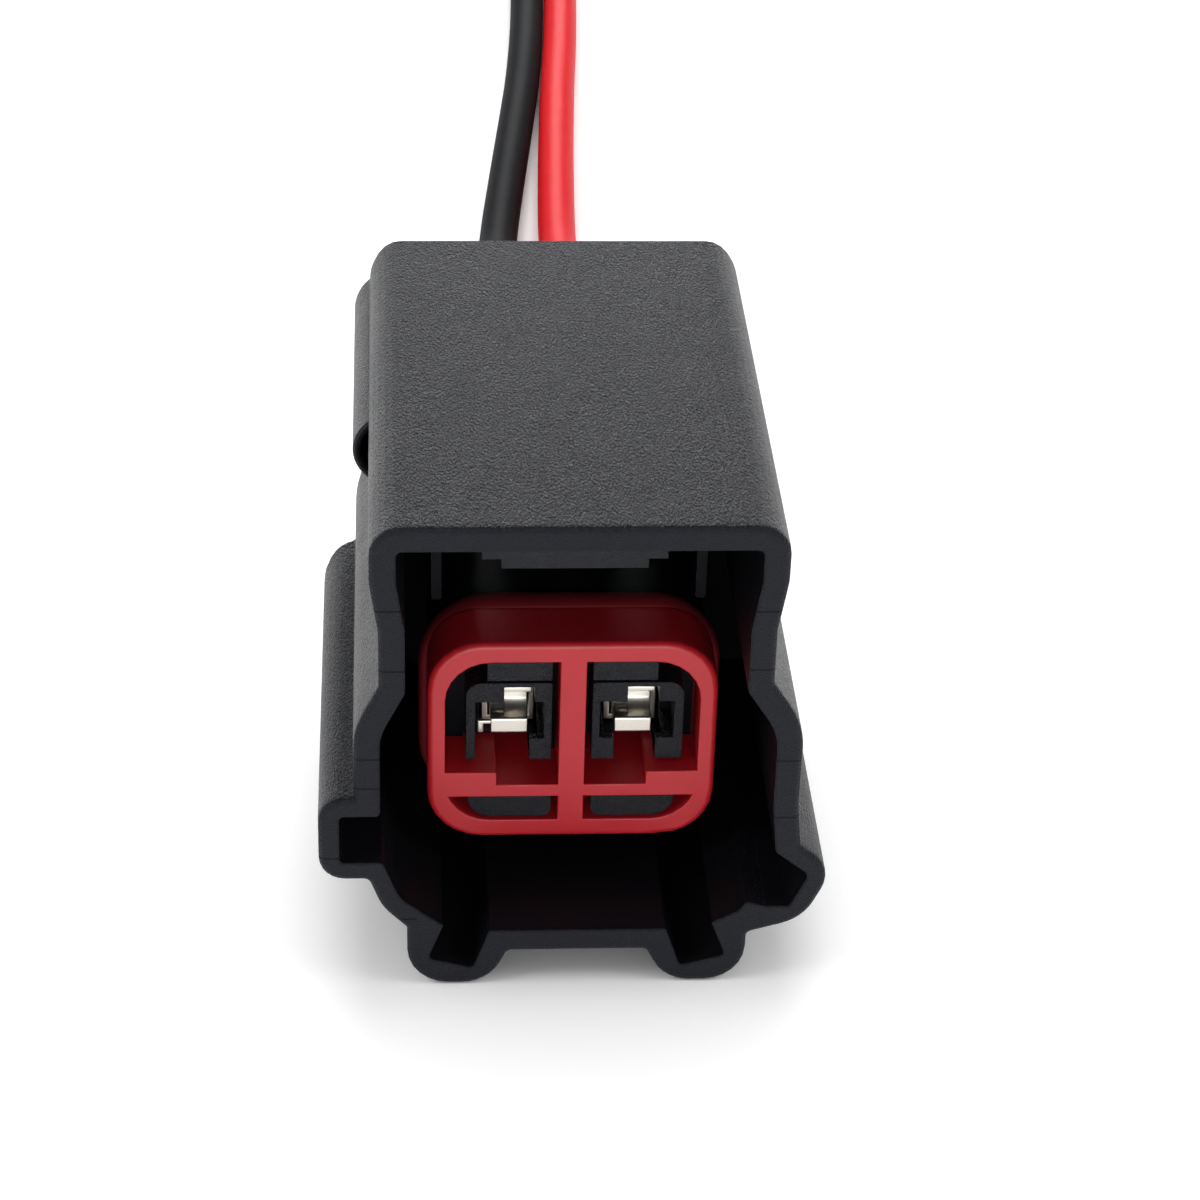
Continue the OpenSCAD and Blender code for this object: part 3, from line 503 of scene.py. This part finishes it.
def settled(holder: bpy.types.Object) -> bpy.types.Object:
    """Turns an object with modifiers to one with the plain mesh that they give.

    Args:
        holder: The object, which is removed.

    Returns:
        A new object of the same name, at the origin and with no modifier.
    """
    name = holder.name
    evaluated = holder.evaluated_get(bpy.context.evaluated_depsgraph_get())
    mesh = bpy.data.meshes.new_from_object(evaluated)
    bpy.data.objects.remove(holder)
    mesh.name = name
    return put_in_scene(name, mesh)


class ShapeTree:
    """A Geometry Nodes tree with named inputs, which runs once to make a plain mesh."""

    weld = 1e-4

    def __init__(self, name: str, sizes: dict[str, str]) -> None:
        """Starts the tree.

        Args:
            name: The tree's name.
            sizes: The kind of socket for each named input.
        """
        self.tree = bpy.data.node_groups.new(name, "GeometryNodeTree")
        sockets = self.tree.interface
        self.keys: dict[str, str] = {}
        for key, kind in {"Route": "Geometry", **sizes, "Finish": "Material"}.items():
            socket = sockets.new_socket(key, in_out="INPUT", socket_type=f"NodeSocket{kind}")
            self.keys[key] = socket.identifier
        sockets.new_socket("Shape", in_out="OUTPUT", socket_type="NodeSocketGeometry")
        self.inputs = add_node(self.tree, "NodeGroupInput").outputs

    def node(self, kind: str, inputs: dict[Any, Any] | None = None, **settings: Any) -> Any:
        """Adds a node to the tree."""
        return add_node(self.tree, kind, inputs, **settings)

    def calculate(self, operation: str, *values: Any) -> bpy.types.Node:
        """Adds a Math node to the tree."""
        return calculate(self.tree, operation, *values)

    def end(self, shape: bpy.types.Node) -> None:
        """Ends the tree: smooth faces, real instances and the finish."""
        smooth = self.node("GeometryNodeSetShadeSmooth", {0: shape})
        real = self.node("GeometryNodeRealizeInstances", {0: smooth})
        dressed = self.node("GeometryNodeSetMaterial", {0: real, "Material": self.inputs["Finish"]})
        self.node("NodeGroupOutput", {0: dressed})

    def run(self, name: str, values: dict[str, Any], route: list[Vector] | None = None) -> bpy.types.Object:
        """Runs the tree and keeps its result.

        Args:
            name: The name of the new piece.
            values: A value for each named input.
            route: Points of the line that the shape follows, if it follows one.

        Returns:
            The piece, as a plain closed mesh with its faces outwards.
        """
        points = route or []
        line = bpy.data.meshes.new(name)
        line.from_pydata(points, [(i, i + 1) for i in range(len(points) - 1)], [])
        holder = put_in_scene(name, line)
        modifier = holder.modifiers.new(name, "NODES")
        modifier.node_group = self.tree
        for key, value in values.items():
            modifier[self.keys[key]] = value
        piece = settled(holder)
        shape = bmesh.new()
        shape.from_mesh(piece.data)
        bmesh.ops.remove_doubles(shape, verts=shape.verts, dist=self.weld * MM)
        bmesh.ops.recalc_face_normals(shape, faces=shape.faces)
        shape.to_mesh(piece.data)
        shape.free()
        return piece


@dataclass(frozen=True)
class Easing:
    """How far the sharp edges of a hard piece are eased.

    The rim is the outer edge of the piece's front face and the mouth its inner edges. Edges inside the fine
    box get the fine easing, and all others the plain one.
    """

    rim: float
    mouth: float
    plain: float
    fine: float
    fine_low: Point = (0.0, 0.0, 0.0)
    fine_high: Point = (0.0, 0.0, 0.0)
    sharp_angle: float = 34.0
    flat_angle: float = 0.6
    steps: int = 3
    weld: float = 0.001
    front_slack: float = 0.01

    def copy(self, node: bpy.types.Object, name: str) -> bpy.types.Object:
        """Copies a CAD node and eases the copy's sharp edges.

        Args:
            node: The CAD node's object, which stays as it is.
            name: The name of the new piece.

        Returns:
            The eased piece.
        """
        shape = bmesh.new()
        shape.from_mesh(node.data)
        bmesh.ops.remove_doubles(shape, verts=shape.verts, dist=self.weld * MM)
        bmesh.ops.dissolve_limit(
            shape, angle_limit=math.radians(self.flat_angle), verts=shape.verts, edges=shape.edges
        )
        widest = max(self.rim, self.mouth, self.plain, self.fine)
        weights = shape.edges.layers.float.new("bevel_weight_edge")
        for edge, width in self.widths(shape).items():
            edge[weights] = width / widest
        mesh = bpy.data.meshes.new(name)
        shape.to_mesh(mesh)
        shape.free()
        holder = put_in_scene(name, mesh)
        bevel = holder.modifiers.new("easing", "BEVEL")
        bevel.limit_method = "WEIGHT"
        bevel.width = widest * MM
        bevel.segments = self.steps
        bevel.use_clamp_overlap = False
        piece = settled(holder)
        piece.data.shade_smooth()
        piece.data.set_sharp_from_angle(angle=math.radians(self.sharp_angle))
        weighted = piece.modifiers.new("flat_faces", "WEIGHTED_NORMAL")
        weighted.keep_sharp = True
        return settled(piece)

    def widths(self, shape: bmesh.types.BMesh) -> dict[bmesh.types.BMEdge, float]:
        """Finds the easing of each sharp outward edge.

        Args:
            shape: The merged shape.

        Returns:
            The width for each edge that is eased.
        """
        front = min(vertex.co.y for vertex in shape.verts)
        widths = {}
        lips = []
        for edge in shape.edges:
            if not edge.is_manifold or edge.calc_face_angle_signed() < math.radians(self.sharp_angle):
                continue
            middle = (edge.verts[0].co + edge.verts[1].co) / 2
            widths[edge] = self.fine if self.in_fine_box(middle) else self.plain
            if all(vertex.co.y < front + self.front_slack * MM for vertex in edge.verts):
                lips.append(edge)
        for loop, outer in front_loops(lips):
            widths |= dict.fromkeys(loop, self.rim if outer else self.mouth)
        return widths

    def in_fine_box(self, place: Vector) -> bool:
        """Whether a place in the shared frame lies inside the fine box."""
        low, high = to_frame(self.fine_low), to_frame(self.fine_high)
        return all(low[i] < place[i] < high[i] for i in range(3))


def front_loops(edges: list[bmesh.types.BMEdge]) -> list[tuple[set[bmesh.types.BMEdge], bool]]:
    """Sorts the edges of a front face into loops.

    Args:
        edges: Edges in the plane of the front face.

    Returns:
        Each loop, and whether it is the outer one.
    """
    left = set(edges)
    loops = []
    while left:
        loop, waiting = set(), [left.pop()]
        while waiting:
            edge = waiting.pop()
            loop.add(edge)
            near = {other for vertex in edge.verts for other in vertex.link_edges} & left
            left -= near
            waiting.extend(near)
        loops.append(loop)
    widest = max(loops, key=lambda loop: max(v.co.x for e in loop for v in e.verts), default=None)
    return [(loop, loop is widest) for loop in loops]


class SubAssembly:
    """Pieces that are built and dressed together."""

    def add(
        self, piece: bpy.types.Object, slot: str, node: str, material: bpy.types.Material | None = None
    ) -> None:
        """Puts a piece in place of a CAD node.

        Args:
            piece: The finished piece.
            slot: The record's material slot for its finish; not used.
            node: The CAD node that it stands for.
            material: Its finish, unless the piece came with one.
        """
        if material:
            piece.data.materials.clear()
            piece.data.materials.append(material)
        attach(piece, BODY)
        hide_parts(node)
        LOG.info("%s stands for %s: %d faces", piece.name, node, len(piece.data.polygons))


@dataclass
class Housing(SubAssembly):
    """Black moulding with the shroud, roof, latch, tower and seal block."""

    easing: Easing = Easing(
        rim=0.3,
        mouth=0.12,
        plain=0.14,
        fine=0.05,
        fine_low=(-7.3, 1.0, 4.8),
        fine_high=(7.5, 10.5, 23.5),
    )
    finish: ErodedPolyamide = ErodedPolyamide(
        name="pa66_spark_eroded_black",
        colour="#191c25",
        roughness=0.36,
        ior=1.53,
        specular=0.25,
        marks=(
            WitnessMark(-8.8, 21.55),
            WitnessMark(-8.6, 18.28),
            WitnessMark(-9.75, 13.38),
            WitnessMark(-9.7, 11.72),
            WitnessMark(-11.6, 7.68, 0.6),
            WitnessMark(-7.85, 4.03, 0.4),
            WitnessMark(8.8, 21.42),
            WitnessMark(8.7, 18.25),
            WitnessMark(10.15, 13.1),
            WitnessMark(10.15, 9.83),
        ),
    )
    # Where the painted shade inside the shroud reaches
    deep: float = 8.0
    cavity_rear: float = 22.1
    cavity_side: float = 8.5
    facing_front: float = -0.9
    ray_lift: float = 0.01
    shell: bpy.types.Object = field(init=False)

    def build(self, nodes: dict[str, bpy.types.Object]) -> None:
        """Eases the moulding's edges and marks the faces inside the shroud that get painted shade."""
        self.shell = self.easing.copy(nodes["housing"], "housing_moulding")
        mesh = self.shell.data
        skin = BVHTree.FromPolygons([v.co for v in mesh.vertices], [face.vertices for face in mesh.polygons])
        # Each face inside the shroud gets 1 here and is painted darker as shade
        inside_shade = mesh.attributes.new(PAINTED_SHADE_INSIDE, "FLOAT", "FACE")
        inside_shade.data.foreach_set("value", [float(self.in_painted_shade(face, skin)) for face in mesh.polygons])

    def in_painted_shade(self, face: bpy.types.MeshPolygon, skin: BVHTree) -> bool:
        """Whether a face of the shroud gets painted shade: it looks at the moulding itself, or to the front
        from deep inside.

        Args:
            face: A face of the moulding.
            skin: All faces of the moulding.

        Returns:
            True for the walls, fins and rear wall of the shroud, which are painted darker as shade, and
            False inside the fine box and outside.
        """
        depth = face.center.y / MM + HALF_DEPTH
        outward = face.normal.x * math.copysign(1, face.center.x) > 0
        if depth > self.cavity_rear or outward and abs(face.center.x) > self.cavity_side * MM:
            return False
        # Front faces deep inside the shroud get painted shade
        if depth > self.deep and face.normal.y < self.facing_front:
            return True
        # So do faces that look at the moulding itself
        above = face.center + face.normal * self.ray_lift * MM
        return skin.ray_cast(above, face.normal)[0] is not None and not self.easing.in_fine_box(face.center)

    def dress(self) -> None:
        """Gives the moulding its grained finish."""
        self.add(self.shell, "housing_black", "housing", self.finish.material())


@dataclass
class Retainer(SubAssembly):
    """Red moulding that locks the terminals, recessed in the shroud."""

    easing: Easing = Easing(rim=0.33, mouth=0.08, plain=0.08, fine=0.08)
    finish: MouldedPolyester = MouldedPolyester(
        name="pbt_moulded_red", colour="#d42430", roughness=0.4, ior=1.55, specular=0.5
    )
    frame: bpy.types.Object = field(init=False)

    def build(self, nodes: dict[str, bpy.types.Object]) -> None:
        """Eases the moulding's edges."""
        self.frame = self.easing.copy(nodes["front_retainer"], "front_retainer_moulding")

    def dress(self) -> None:
        """Gives the moulding its semi-gloss red."""
        self.add(self.frame, "retainer_red", "front_retainer", self.finish.material())


@dataclass
class Terminals(SubAssembly):
    """The two stamped terminals, whose spring tongues show in the windows."""

    easing: Easing = Easing(rim=0.06, mouth=0.06, plain=0.05, fine=0.05)
    finish: TinnedBrass = TinnedBrass(
        name="brass_bright_tin_plate", colour="#f0ebe2", roughness=0.33, metallic=1.0
    )
    stampings: dict[str, bpy.types.Object] = field(default_factory=dict, init=False)

    def build(self, nodes: dict[str, bpy.types.Object]) -> None:
        """Eases the stamped edges of both terminals."""
        for way in Way:
            node = f"terminal_{way.word}"
            self.stampings[node] = self.easing.copy(nodes[node], f"{node}_stamping")

    def dress(self) -> None:
        """Gives both terminals the same tin plate."""
        tin = self.finish.material()
        for node, stamping in self.stampings.items():
            self.add(stamping, "terminal_tin", node, tin)


@dataclass(frozen=True)
class SealRing:
    """Sizes of one lipped ring: the outline that it hugs, its length, wall, lips and its front's depth."""

    width: float
    height: float
    corner: float
    length: float
    wall: float
    lip: float
    lips: int
    front: float


@dataclass
class Seals(SubAssembly):
    """The perimeter seal round the tower and the seal on each lead."""

    perimeter: SealRing = SealRing(
        width=12.21, height=9.08, corner=2.22, length=1.4, wall=1.05, lip=0.26, lips=1, front=8.3
    )
    wire_seal: SealRing = SealRing(
        width=2.68, height=2.68, corner=1.339, length=6.6, wall=0.59, lip=0.55, lips=3, front=25.6
    )
    tower_axis: float = 10.85
    tower_x: float = 0.15
    profile_points: int = 96
    corner_points: int = 12
    lip_fullness: float = 0.4
    finish: SiliconeRubber = SiliconeRubber(
        name="silicone_dark_red", colour="#7a1a22", roughness=0.72, ior=1.41, specular=0.3
    )
    rings: dict[str, bpy.types.Object] = field(default_factory=dict, init=False)

    def build(self, nodes: dict[str, bpy.types.Object]) -> None:
        """Runs one tree for all three rings."""
        rubber = self.finish.material()
        tree = self.ring_tree()
        places = {"perimeter_seal": (self.perimeter, self.tower_x)}
        places |= {f"wire_seal_{way.word}": (self.wire_seal, way.value) for way in Way}
        for node, (ring, x) in places.items():
            values = {
                "Width": ring.width * MM,
                "Height": ring.height * MM,
                "Corner": ring.corner * MM,
                "Length": ring.length * MM,
                "Wall": ring.wall * MM,
                "Lip": ring.lip * MM,
                "Lips": ring.lips,
                "Place": to_frame((x, ring.front, self.tower_axis)),
                "Finish": rubber,
            }
            self.rings[node] = tree.run(f"{node}_ring", values)

    def dress(self) -> None:
        """Puts the rings in place of their nodes; their finish came with the tree."""
        for node, ring in self.rings.items():
            self.add(ring, "seal_red" if node == "perimeter_seal" else "wire_seal", node)

    def ring_tree(self) -> ShapeTree:
        """Builds the tree that sweeps a lipped section round a rounded rectangle.

        Returns:
            The tree.
        """
        shape = ShapeTree(
            "lipped_ring",
            dict.fromkeys(("Width", "Height", "Corner", "Length", "Wall", "Lip"), "Float")
            | {"Lips": "Int", "Place": "Vector"},
        )
        size = shape.inputs
        half = self.profile_points // 2
        frame = shape.node(
            "GeometryNodeCurvePrimitiveQuadrilateral", {"Width": size["Width"], "Height": size["Height"]}
        )
        rounding = {"Curve": frame, "Count": self.corner_points, "Radius": size["Corner"]}
        path = shape.node("GeometryNodeFilletCurve", rounding, mode="POLY")
        upright = shape.node("GeometryNodeSetCurveNormal", {"Curve": path}, mode="Z_UP")
        # The section's first half runs along the lips and its second half back along the bore
        index = shape.node("GeometryNodeInputIndex")
        outside = shape.calculate("LESS_THAN", index, half - 0.5)
        step = shape.calculate("MODULO", index, half)
        share = shape.calculate("DIVIDE", step, half - 1)
        back = shape.calculate("SUBTRACT", 1.0, share)
        run = shape.node("GeometryNodeSwitch", {0: outside, 1: back, 2: share}, input_type="FLOAT")
        depth = shape.calculate("MULTIPLY", run, size["Length"])
        turns = shape.calculate("MULTIPLY", size["Lips"], math.pi)
        phase = shape.calculate("MULTIPLY", share, turns)
        wave = shape.calculate("SINE", phase)
        crest = shape.calculate("ABSOLUTE", wave)
        full = shape.calculate("POWER", crest, self.lip_fullness)
        lip = shape.calculate("MULTIPLY_ADD", full, size["Lip"], size["Wall"])
        out = shape.node("GeometryNodeSwitch", {0: outside, 1: 0.0, 2: lip}, input_type="FLOAT")
        point = shape.node("ShaderNodeCombineXYZ", {"X": out, "Y": depth})
        circle = shape.node("GeometryNodeCurvePrimitiveCircle", {"Resolution": self.profile_points})
        section = shape.node("GeometryNodeSetPosition", {"Geometry": circle, "Position": point})
        swept = shape.node("GeometryNodeCurveToMesh", {"Curve": upright, "Profile Curve": section})
        turned = shape.node(
            "GeometryNodeTransform",
            {"Geometry": swept, "Translation": size["Place"], "Rotation": (math.pi / 2, 0.0, 0.0)},
        )
        shape.end(turned)
        return shape


# Depth and height along both leads: out of the seal, down under gravity, then along the floor
LEAD_FALL: tuple[tuple[float, float], ...] = (
    (22, 10.85), (28.5, 10.85), (35, 10.85), (41, 10.75), (47, 10.1), (53, 8.8), (59, 6.9), (65, 4.8),
    (71, 2.95), (77, 1.65), (83, 1.3), (89, 1.3), (95, 1.3), (101, 1.3), (107, 1.3), (113, 1.3),
    (119, 1.3), (125, 1.3), (131, 1.3), (137, 1.3), (143, 1.3), (149, 1.3), (155, 1.3), (161, 1.3),
    (167, 1.3), (173, 1.3), (178, 1.3),
)


@dataclass(frozen=True)
class Lead:
    """One lead: its colour, way and insulation, and the X of its centreline at each point of the fall."""

    word: str
    way: Way
    finish: ExtrudedVinyl
    drift: tuple[float, ...]

    @property
    def route(self) -> list[Point]:
        """The points of the centreline, by their depths behind the lip."""
        return [(x, depth, height) for x, (depth, height) in zip(self.drift, LEAD_FALL, strict=True)]

    @property
    def points(self) -> list[Vector]:
        """The route in the shared frame."""
        return [to_frame(point) for point in self.route]

    @property
    def heading(self) -> Vector:
        """The direction in which the lead ends."""
        return (self.points[-1] - self.points[-2]).normalized()

    @property
    def length(self) -> float:
        """The insulation's length along the route, in metres."""
        return sum((b - a).length for a, b in zip(self.points, self.points[1:]))


BLACK_LEAD = Lead(
    word="black",
    way=Way.LEFT,
    finish=ExtrudedVinyl(
        name="pvc_extruded_black", colour="#1d1e21", roughness=0.55, ior=1.53, specular=0.03
    ),
    drift=(
        -2.855, -2.855, -2.855, -2.82, -2.75, -2.62, -2.4, -2.1, -1.75, -1.34, -0.88, -0.31, 0.28, 0.88,
        1.45, 1.9, 2.25, 2.5, 2.7, 2.85, 2.95, 3, 3, 2.9, 2.7, 2.4, 2.05,
    ),
)
RED_LEAD = Lead(
    word="red",
    way=Way.RIGHT,
    finish=ExtrudedVinyl(
        name="pvc_extruded_red",
        colour="#f0232a",
        roughness=0.45,
        ior=1.53,
        specular=0.06,
        deep_colour="#e01a22",
    ),
    drift=(
        3.195, 3.195, 3.195, 3.17, 3.1, 3, 2.91, 2.86, 2.85, 2.9, 3.03, 3.26, 3.52, 3.83,
        4.17, 4.56, 4.9, 5.17, 5.42, 5.7, 6, 6.35, 6.75, 7.2, 7.7, 8.25, 8.75,
    ),
)


@dataclass
class Leads(SubAssembly):
    """The two leads with their twisted strands, bare at the free end and inside the crimp."""

    leads: tuple[Lead, ...] = (BLACK_LEAD, RED_LEAD)
    diameter: float = 2.6
    sides: int = 40
    curve_steps: int = 6
    strand: float = 0.3
    strand_sides: int = 10
    strand_rings: int = 2
    strands_per_ring: int = 6
    lay_length: float = 14.0
    lay_points: int = 24
    bare_length: float = 5.95
    crimp_front: float = 16.37
    crimp_rear: float = 22.0
    body_rear: float = 34.0
    copper: DrawnCopper = DrawnCopper(
        name="copper_drawn_bare", colour="#d08a5c", roughness=0.28, metallic=1.0
    )
    parts: dict[Lead, tuple[bpy.types.Object, dict[str, bpy.types.Object]]] = field(
        default_factory=dict, init=False
    )

    def build(self, nodes: dict[str, bpy.types.Object]) -> None:
        """Sweeps the insulation along each route and twists the strands at both of its ends."""
        tube, bundle = self.tube_tree(), self.bundle_tree()
        copper = self.copper.material()
        for lead in self.leads:
            values = {"Diameter": self.diameter * MM, "Finish": lead.finish.material()}
            insulation = tube.run(f"lead_{lead.word}_insulation", values, lead.points)
            ends = {
                f"stripped_end_{lead.word}": (lead.points[-1], lead.heading, self.bare_length),
                f"crimped_strands_{lead.way.word}": (
                    to_frame((lead.way.value, self.crimp_front, lead.route[0][2])),
                    Vector((0, 1, 0)),
                    self.crimp_rear - self.crimp_front,
                ),
            }
            self.parts[lead] = insulation, {
                node: self.run_bundle(bundle, f"{node}_bundle", *end, copper) for node, end in ends.items()
            }

    def dress(self) -> None:
        """Puts the leads and their bundles in place of their nodes; each lead's real length is worked out
        but not kept.
        """
        for lead, (insulation, bundles) in self.parts.items():
            self.add(insulation, f"insulation_{lead.word}", f"lead_{lead.word}")
            for node, bundle in bundles.items():
                self.add(bundle, "strands_copper", node)
            lead.length

    def tube_tree(self) -> ShapeTree:
        """Builds the tree that sweeps a round tube along a smooth line through the route's points.

        Returns:
            The tree.
        """
        shape = ShapeTree("insulation_tube", {"Diameter": "Float"})
        line = shape.node("GeometryNodeMeshToCurve", {0: shape.inputs["Route"]})
        smooth = shape.node("GeometryNodeCurveSplineType", {"Curve": line}, spline_type="CATMULL_ROM")
        fine = shape.node("GeometryNodeSetSplineResolution", {0: smooth, "Resolution": self.curve_steps})
        radius = shape.calculate("MULTIPLY", shape.inputs["Diameter"], 0.5)
        ring = shape.node("GeometryNodeCurvePrimitiveCircle", {"Resolution": self.sides, "Radius": radius})
        # The smooth line may dip between its points, but the lead lies on the floor
        dense = shape.node("GeometryNodeResampleCurve", {"Curve": fine}, mode="EVALUATED")
        at = shape.node("ShaderNodeSeparateXYZ", {0: shape.node("GeometryNodeInputPosition")})
        height = shape.calculate("MAXIMUM", at.outputs["Z"], radius)
        spot = shape.node("ShaderNodeCombineXYZ", {"X": at.outputs["X"], "Y": at.outputs["Y"], "Z": height})
        lying = shape.node("GeometryNodeSetPosition", {"Geometry": dense, "Position": spot})
        sweep = {"Curve": lying, "Profile Curve": ring, "Fill Caps": True}
        shape.end(shape.node("GeometryNodeCurveToMesh", sweep))
        return shape

    def bundle_tree(self) -> ShapeTree:
        """Builds the tree that twists rings of strands round a straight one.

        Returns:
            The tree.
        """
        shape = ShapeTree(
            "twisted_bundle",
            {"Length": "Float", "Strand": "Float", "Twists": "Float", "Place": "Vector", "Turn": "Rotation"},
        )
        size = shape.inputs
        tip = shape.node("ShaderNodeCombineXYZ", {"Z": size["Length"]})
        strands = [shape.node("GeometryNodeCurvePrimitiveLine", {"End": tip})]
        for ring in range(1, self.strand_rings + 1):
            count = self.strands_per_ring * ring
            radius = shape.calculate("MULTIPLY", size["Strand"], float(ring))
            twist = {
                "Resolution": self.lay_points,
                "Rotations": size["Twists"],
                "Start Radius": radius,
                "End Radius": radius,
                "Height": size["Length"],
            }
            helix = shape.node("GeometryNodeCurveSpiral", twist)
            index = shape.node("GeometryNodeInputIndex")
            angle = shape.calculate("MULTIPLY", index, math.tau / count)
            round_axis = shape.node("ShaderNodeCombineXYZ", {"Z": angle})
            places = shape.node("GeometryNodePoints", {"Count": count})
            copies = {"Points": places, "Instance": helix, "Rotation": round_axis}
            strands.append(shape.node("GeometryNodeInstanceOnPoints", copies))
        joined = shape.node("GeometryNodeJoinGeometry", {0: strands})
        real = shape.node("GeometryNodeRealizeInstances", {0: joined})
        half = shape.calculate("MULTIPLY", size["Strand"], 0.5)
        circle = {"Resolution": self.strand_sides, "Radius": half}
        section = shape.node("GeometryNodeCurvePrimitiveCircle", circle)
        sweep = {"Curve": real, "Profile Curve": section, "Fill Caps": True}
        wires = shape.node("GeometryNodeCurveToMesh", sweep)
        shift = {"Geometry": wires, "Translation": size["Place"], "Rotation": size["Turn"]}
        shape.end(shape.node("GeometryNodeTransform", shift))
        return shape

    def run_bundle(
        self,
        tree: ShapeTree,
        name: str,
        place: Vector,
        heading: Vector,
        length: float,
        copper: bpy.types.Material,
    ) -> bpy.types.Object:
        """Makes one bundle of strands.

        Args:
            tree: The tree from bundle_tree().
            name: The name of the new piece.
            place: Where the bundle starts, in the shared frame.
            heading: The direction in which it runs.
            length: Its length in millimetres.
            copper: Its finish.

        Returns:
            The bundle.
        """
        values = {
            "Length": length * MM,
            "Strand": self.strand * MM,
            "Twists": length / self.lay_length,
            "Place": place,
            "Turn": heading.to_track_quat("Z", "Y").to_euler(),
            "Finish": copper,
        }
        return tree.run(name, values)


@dataclass(frozen=True)
class Softbox:
    """A square lamp: its middle, the point that it faces, its side and its power in watts."""

    name: str
    place: Point
    aim: Point
    side: float
    power: float

    def build(self) -> None:
        """Adds the lamp."""
        data = bpy.data.lights.new(self.name, "AREA")
        data.size = self.side * MM
        data.energy = self.power
        lamp = put_in_scene(self.name, data)
        lamp.location = Vector(self.place) * MM
        lamp.rotation_euler = (Vector(self.aim) - Vector(self.place)).to_track_quat("-Z", "Y").to_euler()


@dataclass(frozen=True)
class ViewCamera:
    """The camera: its place, the turn and dip of its view and its roll in radians, and its lens.

    The clip range alone is in metres.
    """

    place: Point = (-8.379, -145.237, 102.46)
    turn: float = 0.0724
    dip: float = 0.5585
    roll: float = 0.0323
    lens: float = 99.97
    sensor: float = 36.0
    clip: Range = (0.005, 20.0)

    def build(self) -> None:
        """Adds the camera and makes it the scene's own."""
        data = bpy.data.cameras.new("view_camera")
        data.lens = self.lens
        data.sensor_width = self.sensor
        data.clip_start, data.clip_end = self.clip
        camera = put_in_scene("view_camera", data)
        ahead = Vector(
            (
                math.sin(self.turn) * math.cos(self.dip),
                math.cos(self.turn) * math.cos(self.dip),
                -math.sin(self.dip),
            )
        )
        level = Vector((math.cos(self.turn), -math.sin(self.turn), 0.0))
        upward = level.cross(ahead)
        right = math.cos(self.roll) * level + math.sin(self.roll) * upward
        up = math.cos(self.roll) * upward - math.sin(self.roll) * level
        axes = Matrix((right, up, -ahead)).transposed().to_4x4()
        camera.matrix_world = Matrix.Translation(Vector(self.place) * MM) @ axes
        bpy.context.scene.camera = camera


@dataclass
class Studio:
    """Paper sweep, soft light and camera."""

    camera: ViewCamera = ViewCamera()
    floor: PaperSweep = PaperSweep("studio_paper", 0.4)
    backdrop: PaperSweep = PaperSweep("lit_backdrop", 1.0)
    sweep_reach: float = 3000.0
    backdrop_depth: float = 1500.0
    backdrop_height: float = 1600.0
    backdrop_middle: float = 100.0
    backdrop_reach: float = 300.0
    sky: float = 0.1
    sky_colour: str = "#ffffff"
    horizon: Range = (0.1, 0.16)
    softboxes: tuple[Softbox, ...] = (
        Softbox("top_softbox", (0.0, 200.0, 570.0), (0.0, 0.0, 0.0), 400.0, 1.5),
        Softbox("rear_softbox", (20.0, 690.0, 360.0), (0.0, 0.0, 15.0), 320.0, 2.6),
        Softbox("front_fill", (0.0, -600.0, 110.0), (0.0, 0.0, 10.0), 300.0, 1.4),
        Softbox("left_fill", (-430.0, -100.0, 420.0), (0.0, 0.0, 5.0), 300.0, 1.2),
        Softbox("right_fill", (430.0, -100.0, 420.0), (0.0, 0.0, 5.0), 300.0, 0.9),
    )

    def build(self) -> None:
        """Adds the camera, the paper, the lamps and the sky."""
        self.camera.build()
        self.lay_paper()
        for softbox in self.softboxes:
            softbox.build()
        self.light_sky()
        bpy.context.scene.view_settings.view_transform = "Standard"

    def lay_paper(self) -> None:
        """Adds the white floor under the part and the lit backdrop behind it."""
        reach = self.sweep_reach * MM
        left = (self.backdrop_middle - self.backdrop_reach) * MM
        right = (self.backdrop_middle + self.backdrop_reach) * MM
        back, top = self.backdrop_depth * MM, self.backdrop_height * MM
        corners = [(-reach, -reach, 0), (reach, -reach, 0), (reach, reach, 0), (-reach, reach, 0)]
        corners += [(left, back, 0), (right, back, 0), (right, back, top), (left, back, top)]
        mesh = bpy.data.meshes.new("paper_sweep")
        mesh.from_pydata(corners, [], [(0, 1, 2, 3), (4, 5, 6, 7)])
        for index, paper in enumerate((self.floor, self.backdrop)):
            mesh.materials.append(paper.material())
            mesh.polygons[index].material_index = index
        put_in_scene("paper_sweep", mesh)

    def light_sky(self) -> None:
        """Adds an even, dim sky and a white band at the horizon, which gives no light of its own."""
        world = bpy.data.worlds.new("studio_sky")
        tree = cleared(world)
        direction = add_node(tree, "ShaderNodeTexCoord").outputs["Generated"]
        upward = add_node(tree, "ShaderNodeSeparateXYZ", {0: direction}).outputs["Z"]
        band = remap(tree, upward, self.horizon, (1 - self.sky, 0.0))
        strength = calculate(tree, "MULTIPLY_ADD", band, seen_directly(tree), self.sky)
        shine = {"Color": linear(self.sky_colour), "Strength": strength}
        sky = add_node(tree, "ShaderNodeBackground", shine)
        add_node(tree, "ShaderNodeOutputWorld", {"Surface": sky})
        bpy.context.scene.world = world


def main() -> None:
    """Loads the frame, builds the studio and the leads, and then the rest of the connector."""
    logging.basicConfig(level=logging.INFO, format="%(message)s")
    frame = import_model()
    Studio().build()
    for assembly in (Leads(), Seals(), Terminals(), Retainer(), Housing()):
        assembly.build(frame["nodes"])
        assembly.dress()


if __name__ == "__main__":
    main()
